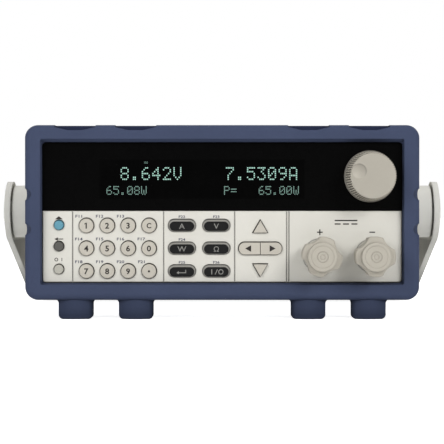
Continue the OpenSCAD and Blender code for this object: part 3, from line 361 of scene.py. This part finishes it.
def knob_material():
    """Beige plastic with painted light and shade: pale tooth tips and dark grooves round the grip, a darker
    skirt behind it, and a finger dimple lit on one side and shaded on the other.
    """
    centre = middle("knob")
    low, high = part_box("knob")
    skirt_t, grip_r, face_r, tooth, thin = 0.0034, 0.0142, 0.0132, 0.0008, 0.00005
    grip_back = high.y - skirt_t
    dimple_x, dimple_z, dimple_r, rim = centre.x - 0.0079, centre.z + 0.0026, 0.0044, 0.0005

    def reach_from(g, a, b):
        return g.math("SQRT", g.math("ADD", g.math("MULTIPLY", a, a), g.math("MULTIPLY", b, b)))

    def paint(g, tint):
        x, y, z = g.axes()
        reach = reach_from(g, g.math("SUBTRACT", x, centre.x), g.math("SUBTRACT", z, centre.z))
        # Painted light and shade on the grip: pale tooth tips, dark grooves
        tip = g.remap(y, low.y, grip_back, face_r, grip_r)
        rise = g.remap(g.math("SUBTRACT", tip, reach), 0.65 * tooth, 0.25 * tooth)
        outer = g.remap(reach, face_r - 2 * tooth, face_r - 1.9 * tooth)
        grip = g.math("MULTIPLY", g.remap(y, low.y + thin, low.y + 2 * thin), outer)
        teeth = g.mix(rise, scaled(BEIGE, 0.45), scaled(BEIGE, 2.0))
        # Painted shade on the skirt behind the grip
        skirt = g.remap(y, grip_back - 2 * thin, grip_back - thin)
        tint = g.mix(grip, tint, g.mix(skirt, teeth, scaled(BEIGE, 0.5)))
        # Painted light and shade in the finger dimple: lit towards the lower left, shaded towards the upper
        # right, with a painted dark rim on the shaded side
        side, up = g.math("SUBTRACT", x, dimple_x), g.math("SUBTRACT", z, dimple_z)
        slant = g.math("ADD", side, up)
        hollow = reach_from(g, side, up)
        inside = g.remap(hollow, dimple_r, dimple_r - rim)
        inside = g.math("MULTIPLY", inside, g.remap(y, high.y - 0.002, high.y - 0.0025))
        shaded = g.mix(g.remap(slant, -dimple_r, dimple_r), scaled(BEIGE, 1.14), scaled(BEIGE, 0.82))
        edge = g.remap(g.math("ABSOLUTE", g.math("SUBTRACT", hollow, dimple_r - rim)), rim, 0.2 * rim)
        edge = g.math("MULTIPLY", edge, g.remap(slant, 0.0, dimple_r))
        return g.mix(g.math("MULTIPLY", edge, 0.7), g.mix(inside, tint, shaded), scaled(BEIGE, 0.55))
    return moulded("knob_plastic", BEIGE, 0.5, 0.2, 2400, 0.03, 0.0003, 1.07, 0.3, paint)


def oval_material(name, node):
    """Oval key: a dark bar on a pale grey base."""
    centre = face_middle(node)
    half_w, half_h, thin = 0.00705, 0.0027, 0.00005

    def paint(g, tint):
        x, _, z = g.axes()
        side = g.math("SUBTRACT", g.math("ABSOLUTE", g.math("SUBTRACT", x, centre.x)), half_w - half_h)
        side = g.math("MAXIMUM", side, 0.0)
        up = g.math("SUBTRACT", z, centre.z)
        reach = g.math("SQRT", g.math("ADD", g.math("MULTIPLY", side, side), g.math("MULTIPLY", up, up)))
        inside = g.remap(reach, half_h + thin, half_h - thin)
        return g.mix(inside, srgb(146, 144, 138), tint)
    return moulded(name, srgb(14, 14, 14), 0.5, 0.2, 2400, 0.05, 0.0003, 1.25, 0.12, paint)


def board_material():
    """Circuit board: solder mask with tracks, dark parts above it."""
    board_t, thin = 0.0017, 0.00005
    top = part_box("main_board")[0].z + board_t

    def paint(g, tint):
        tracks = g.add("ShaderNodeTexBrick")
        tracks.inputs["Scale"].default_value = 140
        tracks.inputs["Mortar Size"].default_value = 0.03
        tracks.inputs["Color1"].default_value = srgb(24, 84, 48)
        tracks.inputs["Color2"].default_value = srgb(30, 96, 56)
        tracks.inputs["Mortar"].default_value = srgb(70, 128, 78)
        g.link(g.place, tracks.inputs["Vector"])
        raised = g.remap(g.axes()[2], top, top + thin)
        return g.mix(raised, tracks.outputs["Color"], srgb(38, 40, 46))
    return moulded("board_green", srgb(26, 88, 50), 0.45, 0.15, 1200, 0.05, 0.0002, 1.1, 0.35, paint)


def transformer_material():
    """Laminated core with a taped coil through it."""
    centre, coil_half = middle("transformer"), 0.0171

    def paint(g, tint):
        leaves = g.noise(1400, 2, 0.5, g.stretched((0.02, 1, 0.02)))
        core = g.mix(g.remap(leaves, 0.4, 0.6), srgb(96, 92, 82), srgb(126, 120, 106))
        coil = g.near(1, centre.y, coil_half)
        return g.mix(coil, srgb(190, 148, 70), core)
    return moulded("core_steel", srgb(110, 104, 92), 0.5, 0.3, 900, 0.08, 0.0003, 1.2, 0.35, paint)


def socket_material(name, face_y):
    """Plated shell with a dark moulding in its face."""
    g = Graph(name)
    thin = 0.0001
    rounded = g.edges(0.0002)[0]
    lines = g.noise(900, 3)
    shell = g.surface(g.mix(g.remap(lines, 0.3, 0.7), srgb(178, 176, 170), srgb(208, 206, 200)),
                      g.remap(lines, 0.3, 0.7, 0.25, 0.4), g.bump(lines, 0.1, 0.00003, rounded), Metallic=1.0)
    speck = g.noise(600, 3)
    core = g.surface(g.mix(g.remap(speck, 0.3, 0.7), srgb(24, 24, 26), srgb(36, 36, 40)),
                     g.remap(speck, 0.3, 0.7, 0.45, 0.6), g.bump(speck, 0.2, 0.00003, rounded))
    normal = g.axes(g.add("ShaderNodeNewGeometry").outputs["Normal"])[1]
    front = g.math("MULTIPLY", g.remap(normal, 0.8, 0.9),
                   g.remap(g.axes()[1], face_y - 2 * thin, face_y - thin))
    mixed = g.add("ShaderNodeMixShader")
    g.link(front, mixed.inputs[0])
    g.link(shell, mixed.inputs[1])
    g.link(core, mixed.inputs[2])
    return g.done(mixed.outputs[0])


def inlet_material():
    """Black inlet with plated pins in its socket."""
    g = Graph("mains_inlet_black")
    centre, pins_half_w, pins_half_h, pins_y, thin = middle("mains_inlet"), 0.0085, 0.0045, 0.174, 0.0001
    rounded = g.edges(0.0003)[0]
    speck = g.noise(900, 3)
    body = g.surface(g.mix(g.remap(speck, 0.3, 0.7), srgb(26, 26, 28), srgb(38, 38, 40)),
                     g.remap(speck, 0.3, 0.7, 0.4, 0.55), g.bump(speck, 0.2, 0.00004, rounded))
    pins = g.surface(g.mix(g.remap(speck, 0.3, 0.7), srgb(190, 184, 168), srgb(214, 208, 192)),
                     g.remap(speck, 0.3, 0.7, 0.25, 0.35), rounded, Metallic=1.0)
    inner = g.math("MULTIPLY", g.near(0, centre.x, pins_half_w), g.near(2, centre.z, pins_half_h))
    inner = g.math("MULTIPLY", inner, g.remap(g.axes()[1], pins_y, pins_y + thin))
    mixed = g.add("ShaderNodeMixShader")
    g.link(inner, mixed.inputs[0])
    g.link(body, mixed.inputs[1])
    g.link(pins, mixed.inputs[2])
    return g.done(mixed.outputs[0])


def tube_material():
    """Dark glass of the readout tube."""
    g = Graph("tube_glass")
    cloud = g.noise(80, 3)
    tint = g.mix(g.remap(cloud, 0.3, 0.7), srgb(20, 30, 30), srgb(30, 40, 40))
    return g.done(g.surface(tint, g.remap(cloud, 0.3, 0.7, 0.08, 0.16), Specular_IOR_Level=0.5))


def ink_material(name, colour, rough=0.55):
    """Printed ink with a slightly uneven coat."""
    g = Graph(name)
    coat = g.noise(1500, 3, 0.6)
    tint = g.mix(g.remap(coat, 0.35, 0.75), colour, scaled(colour, 1.25))
    return g.done(g.surface(tint, g.remap(coat, 0.3, 0.7, rough - 0.06, rough + 0.06),
                            g.bump(coat, 0.15, 0.00002), Specular_IOR_Level=0.2))


def glow_material(name, colour, strength):
    """Phosphor dots, a little uneven in brightness."""
    g = Graph(name)
    level = g.noise(420, 2)
    tint = g.mix(g.remap(level, 0.3, 0.7), scaled(colour, 0.8), colour)
    light = g.add("ShaderNodeEmission")
    g.link(tint, light.inputs["Color"])
    light.inputs["Strength"].default_value = strength
    return g.done(light.outputs[0])


SOCKET_FACE_Y = 0.1918

LOOKS = {
    "chassis_tray": zinc, "top_cover": case_paint, "rear_panel": case_paint, "front_bumper": rubber,
    "rear_bumper": rubber, "front_panel": panel_plastic, "display_window": window_material(),
    "vfd_tube": tube_material(), "key_mat": mat_rubber, "encoder": nickel, "encoder_shaft": nickel,
    "knob": knob_material(), "shift_key": key_blue, "local_key": key_grey, "power_button": key_white,
    "terminal_base": panel_plastic, "terminal_studs": brass, "plus_washer": nickel, "minus_washer": nickel,
    "plus_cap": cap_plastic, "minus_cap": cap_plastic, "handle": handle_plastic, "handle_hubs": hub_plastic,
    "heatsink": alloy, "power_transistors": black_plastic, "transformer": transformer_material(),
    "fan_frame": black_plastic, "fan_rotor": black_plastic, "mains_inlet": inlet_material(),
    "usb_port": nickel, "serial_port": socket_material("serial_shell", SOCKET_FACE_Y),
    "gpib_port": socket_material("gpib_shell", SOCKET_FACE_Y), "sense_block": block_green,
    "bnc_jack": nickel, "screws": nickel,
}
board = board_material()
for node in ("main_board", "display_board", "keypad_board"):
    LOOKS[node] = board
for node in NUMBER_KEYS + ARROW_KEYS:
    LOOKS[node] = key_cream
for node in OVAL_KEYS:
    LOOKS[node] = oval_material(node + "_look", node)
for node, look in LOOKS.items():
    NODES[node].data.materials.clear()
    NODES[node].data.materials.append(look)


# Printing and readout

INK_PROUD = 0.03 * MM
INK_SUNK = 0.02 * MM
dark_ink = ink_material("dark_ink", srgb(36, 32, 30))
grey_ink = ink_material("grey_ink", srgb(66, 68, 84))
pale_ink = ink_material("pale_ink", srgb(128, 127, 123))


def new_piece(name, mesh, body, look):
    """Link a mesh as a piece that moves with a body."""
    piece = bpy.data.objects.new(name, mesh)
    bpy.context.scene.collection.objects.link(piece)
    mesh.materials.append(look)
    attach(piece, body)
    return piece


def plate(bm, outline, y):
    """Thin plate on a face at y that looks to the front, from its X-Z outline."""
    rings = [[bm.verts.new((x, depth, z)) for x, z in outline] for depth in (y - INK_PROUD, y + INK_SUNK)]
    bm.faces.new(rings[0])
    bm.faces.new(rings[1][::-1])
    count = len(outline)
    for i in range(count):
        j = (i + 1) % count
        bm.faces.new((rings[0][j], rings[0][i], rings[1][i], rings[1][j]))


def as_mesh(name, bm):
    """Close a bmesh into a mesh with its faces turned outwards."""
    bmesh.ops.recalc_face_normals(bm, faces=bm.faces)
    mesh = bpy.data.meshes.new(name)
    bm.to_mesh(mesh)
    bm.free()
    return mesh


def lettering(bm, text, x, z, height, y, stretch=1.0, weight=0.0):
    """Characters of a given height, centred at x and z on a face at y."""
    curve = bpy.data.curves.new("letters", "FONT")
    curve.body = text
    curve.resolution_u = 3
    curve.extrude = 0.01
    curve.offset = weight
    source = bpy.data.objects.new("letters", curve)
    bpy.context.scene.collection.objects.link(source)
    bpy.context.view_layer.update()
    mesh = bpy.data.meshes.new_from_object(source.evaluated_get(bpy.context.evaluated_depsgraph_get()))
    bpy.data.objects.remove(source)
    bpy.data.curves.remove(curve)
    points = [v.co for v in mesh.vertices]
    low = [min(p[i] for p in points) for i in range(3)]
    high = [max(p[i] for p in points) for i in range(3)]
    k = height / (high[1] - low[1])
    for v in mesh.vertices:
        across = (v.co.x - (low[0] + high[0]) / 2) * k * stretch
        up = (v.co.y - (low[1] + high[1]) / 2) * k
        v.co = (across + x, y - INK_PROUD if v.co.z > 0 else y + INK_SUNK, up + z)
    bm.from_mesh(mesh)
    bpy.data.meshes.remove(mesh)


def bar(bm, x, z, w, h, y, turn=0.0):
    """Rectangle of ink."""
    c, s = math.cos(turn), math.sin(turn)
    corners = [(-w / 2, -h / 2), (w / 2, -h / 2), (w / 2, h / 2), (-w / 2, h / 2)]
    plate(bm, [(x + a * c - b * s, z + a * s + b * c) for a, b in corners], y)


def ring(bm, x, z, r, w, y, steps=40):
    """Circle of ink."""
    angles = [math.tau * i / steps for i in range(steps + 1)]
    for a, b in zip(angles, angles[1:]):
        plate(bm, [(x + q * math.cos(t), z + q * math.sin(t)) for t, q in
                   ((a, r - w / 2), (a, r + w / 2), (b, r + w / 2), (b, r - w / 2))], y)


def disc(bm, x, z, r, y, steps=24):
    """Round dot of ink."""
    plate(bm, [(x + r * math.cos(math.tau * i / steps), z + r * math.sin(math.tau * i / steps))
               for i in range(steps)], y)


# Terminal caps: a ringed face on a short nose, ahead of four lobes; all in millimetres
CAP_TIP, CAP_VALLEY, CAP_SCALLOP, CAP_NOSE, CAP_SOFT, CAP_STEPS = 11.4, 9.4, 10.0, 8.7, 6.0, 192
# Each ring's depth behind the face, its radius, and how far it goes from there to the lobes
CAP_RINGS = [(0, 1.05, 0), (0.18, 1.2, 0), (0.18, 1.45, 0), (0, 1.6, 0),
             (0, 2.65, 0), (0.22, 2.8, 0), (0.22, 3.1, 0), (0, 3.25, 0),
             (0, 6.0, 0), (0.15, 6.15, 0), (0.15, 6.35, 0), (0, 6.5, 0),
             (0, 7.75, 0), (0.08, 8.0, 0), (0.3, 8.15, 0), (3.7, 8.3, 0), (4.1, 8.4, 0), (4.25, CAP_NOSE, 0),
             (4.35, CAP_NOSE, 0.45), (4.55, CAP_NOSE, 0.75), (4.95, CAP_NOSE, 0.93), (5.5, CAP_NOSE, 1),
             (20.9, CAP_NOSE, 0.86), (21.6, CAP_NOSE, 0.75), (22, CAP_NOSE, 0.45),
             (22, 3.25, 0), (3, 3.25, 0)]
CAP_TURNS = {"plus_cap": math.radians(17), "minus_cap": 0.0}


def cap_outline(angle):
    """Radius of a cap over its lobes at an angle."""
    off = angle % (math.pi / 2) - math.pi / 4
    reach = CAP_VALLEY + CAP_SCALLOP
    inside = CAP_SCALLOP ** 2 - (reach * math.sin(off)) ** 2
    if inside <= 0:
        return CAP_TIP
    dip = reach * math.cos(off) - math.sqrt(inside)
    return -math.log(math.exp(-CAP_SOFT * CAP_TIP) + math.exp(-CAP_SOFT * dip)) / CAP_SOFT


for cap, turn in CAP_TURNS.items():
    bm = bmesh.new()
    at, front = middle(cap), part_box(cap)[0].y
    angles = [math.tau * i / CAP_STEPS for i in range(CAP_STEPS)]
    rows = []
    for depth, radius, share in CAP_RINGS:
        reaches = [(radius + share * (cap_outline(a + turn) - radius)) * MM for a in angles]
        rows.append([bm.verts.new((at.x + r * math.cos(a), front + depth * MM, at.z + r * math.sin(a)))
                     for a, r in zip(angles, reaches)])
    for row, after in zip(rows, rows[1:]):
        for i in range(CAP_STEPS):
            bm.faces.new((row[i - 1], row[i], after[i], after[i - 1]))
    bm.faces.new(rows[0])
    bm.faces.new(rows[-1][::-1])
    mesh = as_mesh(cap + "_shape", bm)
    mesh.shade_smooth()
    mesh.set_sharp_from_angle(angle=math.radians(40))
    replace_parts(new_piece(cap + "_shape", mesh, cap, cap_plastic), cap)

# Heights and places of the marks
KEY_PROUD, NUMBER_H, SIGN_H, CLEAR_H, POINT_R = 1.8 * MM, 3.4 * MM, 3.0 * MM, 3.0 * MM, 0.62 * MM
FUNCTION_H, OVAL_FUNCTION_H, FUNCTION_LEFT, FUNCTION_RISE = 1.6 * MM, 1.5 * MM, 4.4 * MM, 5.4 * MM
ARROW_X, ARROW_HALF_W, ARROW_HALF_H = 7.0 * MM, 1.7 * MM, 1.85 * MM
KEY_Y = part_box("key_1")[0].y
PANEL_Y = KEY_Y + KEY_PROUD
WINDOW_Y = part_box("display_window")[0].y

for key in NUMBER_KEYS:
    bm = bmesh.new()
    at = face_middle(key)
    if key == "key_point":
        disc(bm, at.x, at.z, POINT_R, KEY_Y)
    elif key == "key_escape":
        lettering(bm, "C", at.x, at.z, CLEAR_H, KEY_Y, 1.0, 0.02)
    else:
        lettering(bm, key[-1], at.x, at.z, NUMBER_H, KEY_Y, 1.05, 0.025)
        if key == "key_1":
            bar(bm, at.x - 0.55 * MM, at.z + 1.2 * MM, 0.42 * MM, 1.25 * MM, KEY_Y, -0.9)
    new_piece("legend_" + key, as_mesh("legend_" + key, bm), key, dark_ink)

for key, sign in zip(OVAL_KEYS, ("A", "V", "W", "Ω", "enter", "switch")):
    bm = bmesh.new()
    at = face_middle(key)
    if sign == "enter":
        bar(bm, at.x + 0.3 * MM, at.z - 0.5 * MM, 4.2 * MM, 0.45 * MM, KEY_Y)
        bar(bm, at.x + 2.2 * MM, at.z + 0.45 * MM, 0.45 * MM, 1.45 * MM, KEY_Y)
        plate(bm, [(at.x - 3.0 * MM, at.z - 0.5 * MM), (at.x - 1.8 * MM, at.z - 1.4 * MM),
                   (at.x - 1.8 * MM, at.z + 0.4 * MM)], KEY_Y)
    elif sign == "switch":
        bar(bm, at.x - 2.6 * MM, at.z, 0.5 * MM, 2.9 * MM, KEY_Y)
        bar(bm, at.x, at.z, 0.4 * MM, 3.2 * MM, KEY_Y, -0.42)
        ring(bm, at.x + 2.6 * MM, at.z, 1.25 * MM, 0.45 * MM, KEY_Y)
    else:
        lettering(bm, sign, at.x, at.z, SIGN_H, KEY_Y, 1.1)
    new_piece("legend_" + key, as_mesh("legend_" + key, bm), key, pale_ink)

for key, way in (("left_key", -1), ("right_key", 1)):
    bm = bmesh.new()
    at = face_middle(key)
    x = face_middle("up_key").x + way * ARROW_X
    plate(bm, [(x + way * ARROW_HALF_W, at.z), (x - way * ARROW_HALF_W, at.z + ARROW_HALF_H),
               (x - way * ARROW_HALF_W, at.z - ARROW_HALF_H)], KEY_Y)
    new_piece("legend_" + key, as_mesh("legend_" + key, bm), key, dark_ink)

# Marks on the panel: the poles, a direct current sign, small function numbers and the power button's signs
bm = bmesh.new()
plus_x, minus_x = middle("plus_cap").x, middle("minus_cap").x
SIGN_Z, INPUT_Z = SPLIT_Z - 12.3 * MM, SPLIT_Z - 6.6 * MM
POLE_W, POLE_T, CURRENT_T = 3.2 * MM, 0.65 * MM, 0.7 * MM
bar(bm, plus_x, SIGN_Z, POLE_W, POLE_T, PANEL_Y)
bar(bm, plus_x, SIGN_Z, POLE_T, POLE_W, PANEL_Y)
bar(bm, minus_x, SIGN_Z, POLE_W, POLE_T, PANEL_Y)
input_x = (plus_x + minus_x) / 2
bar(bm, input_x, INPUT_Z + 1.0 * MM, 13.0 * MM, CURRENT_T, PANEL_Y)
for i in (-1, 0, 1):
    bar(bm, input_x + i * 4.8 * MM, INPUT_Z - 1.0 * MM, 3.4 * MM, CURRENT_T, PANEL_Y)
small_x, _, power_z = face_middle("power_button")
ring(bm, small_x - 1.5 * MM, power_z + 5.6 * MM, 0.85 * MM, 0.4 * MM, PANEL_Y)
bar(bm, small_x + 1.7 * MM, power_z + 5.6 * MM, 0.4 * MM, 1.9 * MM, PANEL_Y)
shift_z = face_middle("shift_key").z + 4.2 * MM
plate(bm, [(small_x - 2.2 * MM, shift_z - 0.8 * MM), (small_x + 2.2 * MM, shift_z - 0.8 * MM),
           (small_x, shift_z + 0.9 * MM)], PANEL_Y)
local_z = face_middle("local_key").z + 4.2 * MM
plate(bm, [(small_x - 2.6 * MM, local_z), (small_x - 0.6 * MM, local_z - 0.95 * MM),
           (small_x - 0.6 * MM, local_z + 0.95 * MM)], PANEL_Y)
bar(bm, small_x + 0.9 * MM, local_z, 3.2 * MM, 0.5 * MM, PANEL_Y)
new_piece("panel_marks", as_mesh("panel_marks", bm), "case", dark_ink)

bm = bmesh.new()
number = 11
for row in (("key_1", "key_2", "key_3"), ("key_4", "key_5", "key_6", "key_0"),
            ("key_7", "key_8", "key_9", "key_point")):
    for key in row:
        at = face_middle(key)
        lettering(bm, "F%d" % number, at.x - FUNCTION_LEFT, at.z + FUNCTION_RISE, FUNCTION_H, PANEL_Y,
                  1.4, 0.02)
        number += 1
for key in OVAL_KEYS:
    if key != "mode_key_4":
        at = face_middle(key)
        lettering(bm, "F%d" % number, at.x, at.z + FUNCTION_RISE, OVAL_FUNCTION_H, PANEL_Y, 1.3, 0.02)
        number += 1
new_piece("function_numbers", as_mesh("function_numbers", bm), "case", grey_ink)

# Readout: lit dots of a five by seven matrix
GLYPHS = {
    "0": "01110 10001 10011 10101 11001 10001 01110", "1": "00100 01100 00100 00100 00100 00100 01110",
    "2": "01110 10001 00001 00010 00100 01000 11111", "3": "11111 00010 00100 00010 00001 10001 01110",
    "4": "00010 00110 01010 10010 11111 00010 00010", "5": "11111 10000 11110 00001 00001 10001 01110",
    "6": "00110 01000 10000 11110 10001 10001 01110", "7": "11111 00001 00010 00100 01000 01000 01000",
    "8": "01110 10001 10001 01110 10001 10001 01110", "9": "01110 10001 10001 01111 00001 00010 01100",
    "A": "01110 10001 10001 10001 11111 10001 10001", "V": "10001 10001 10001 10001 10001 01010 00100",
    "W": "10001 10001 10001 10101 10101 10101 01010", "P": "11110 10001 10001 11110 10000 10000 10000",
    ".": "00000 00000 00000 00000 00000 01100 01100", "=": "00000 00000 11111 00000 11111 00000 00000",
    " ": "00000 00000 00000 00000 00000 00000 00000",
}


DOT_SHARE = 0.68
# Width, height and pitch of the readout's characters, and the top of each line
LARGE = (4.8 * MM, 7.6 * MM, 6.05 * MM)
SMALL = (3.3 * MM, 5.1 * MM, 3.97 * MM)
UNIT_MARK = (2.2 * MM, 2.2 * MM, 3.0 * MM)
LARGE_TOP, SMALL_TOP, MARK_TOP = SPLIT_Z + 25.1 * MM, SPLIT_Z + 14.2 * MM, SPLIT_Z + 28.7 * MM


def readout(bm, text, x0, z1, char_w, char_h, pitch):
    """One line of characters from its top left corner."""
    step_x, step_z = char_w / 5, char_h / 7
    for i, char in enumerate(text):
        for r, bits in enumerate(GLYPHS[char].split()):
            for c, bit in enumerate(bits):
                if bit == "1":
                    bar(bm, x0 + i * pitch + (c + 0.5) * step_x, z1 - (r + 0.5) * step_z,
                        DOT_SHARE * step_x, DOT_SHARE * step_z, WINDOW_Y)


bm = bmesh.new()
readout(bm, "8.642V", -58.3 * MM, LARGE_TOP, *LARGE)
readout(bm, "7.5309A", 2.0 * MM, LARGE_TOP, *LARGE)
new_piece("readout_large", as_mesh("readout_large", bm), "case",
          glow_material("glow_large", srgb(190, 238, 222), 1.0))
bm = bmesh.new()
readout(bm, "65.08W", -66.4 * MM, SMALL_TOP, *SMALL)
readout(bm, "P=   65.00W", 1.0 * MM, SMALL_TOP, *SMALL)
readout(bm, "=", -44.8 * MM, MARK_TOP, *UNIT_MARK)
new_piece("readout_small", as_mesh("readout_small", bm), "case",
          glow_material("glow_small", srgb(150, 186, 174), 1.0))


# Stage and light

FLOOR_GLOW, FLOOR_HALF, WORLD_LEVEL = 0.8, 6, 0.37
AIM = (0, -0.1, 0.06)


def stage_floor():
    """Pale floor that stays white to the eye and keeps a soft shadow."""
    g = Graph("floor")
    cloud = g.noise(3, 2)
    tint = g.mix(g.remap(cloud, 0.3, 0.7), srgb(240, 240, 240), srgb(246, 246, 246))
    matt = g.add("ShaderNodeBsdfDiffuse")
    g.link(tint, matt.inputs["Color"])
    glow = g.add("ShaderNodeEmission")
    glow.inputs["Strength"].default_value = FLOOR_GLOW
    both = g.add("ShaderNodeAddShader")
    g.link(matt.outputs[0], both.inputs[0])
    g.link(glow.outputs[0], both.inputs[1])
    path = g.add("ShaderNodeLightPath")
    seen = g.math("MAXIMUM", path.outputs["Is Camera Ray"],
                  g.math("MAXIMUM", path.outputs["Is Glossy Ray"], path.outputs["Is Transmission Ray"]))
    mixed = g.add("ShaderNodeMixShader")
    g.link(seen, mixed.inputs[0])
    g.link(matt.outputs[0], mixed.inputs[1])
    g.link(both.outputs[0], mixed.inputs[2])
    g.done(mixed.outputs[0])
    bm = bmesh.new()
    bmesh.ops.create_grid(bm, x_segments=4, y_segments=4, size=FLOOR_HALF)
    floor = bpy.data.objects.new("floor", as_mesh("floor", bm))
    bpy.context.scene.collection.objects.link(floor)
    floor.data.materials.append(g.mat)


def world_light(level):
    """Even light all round, with a white background to look at."""
    world = bpy.data.worlds.new("studio")
    bpy.context.scene.world = world
    world.use_nodes = True
    tree = world.node_tree
    tree.nodes.clear()
    path = tree.nodes.new("ShaderNodeLightPath")
    seen = [tree.nodes.new("ShaderNodeMath") for _ in range(2)]
    for node in seen:
        node.operation = "MAXIMUM"
    tree.links.new(path.outputs["Is Camera Ray"], seen[0].inputs[0])
    tree.links.new(path.outputs["Is Glossy Ray"], seen[0].inputs[1])
    tree.links.new(seen[0].outputs[0], seen[1].inputs[0])
    tree.links.new(path.outputs["Is Transmission Ray"], seen[1].inputs[1])
    soft, white = (tree.nodes.new("ShaderNodeBackground") for _ in range(2))
    soft.inputs["Strength"].default_value = level
    soft.inputs["Color"].default_value = (1, 1, 1, 1)
    white.inputs["Color"].default_value = (1, 1, 1, 1)
    mixed = tree.nodes.new("ShaderNodeMixShader")
    tree.links.new(seen[1].outputs[0], mixed.inputs[0])
    tree.links.new(soft.outputs[0], mixed.inputs[1])
    tree.links.new(white.outputs[0], mixed.inputs[2])
    out = tree.nodes.new("ShaderNodeOutputWorld")
    tree.links.new(mixed.outputs[0], out.inputs["Surface"])


def softbox(name, place, aim, size, watts):
    """Square soft light aimed at a point."""
    data = bpy.data.lights.new(name, "AREA")
    data.size = size
    data.energy = watts
    lamp = bpy.data.objects.new(name, data)
    lamp.location = place
    lamp.rotation_euler = (Vector(aim) - Vector(place)).to_track_quat("-Z", "Y").to_euler()
    bpy.context.scene.collection.objects.link(lamp)


stage_floor()
world_light(WORLD_LEVEL)
softbox("left_light", (-0.8, -1.35, 0.6), AIM, 0.6, 8.3)
softbox("right_light", (0.72, -1.4, 0.68), AIM, 0.5, 11.2)
softbox("top_light", (0.0, 0.2, 1.9), AIM, 1.6, 10)
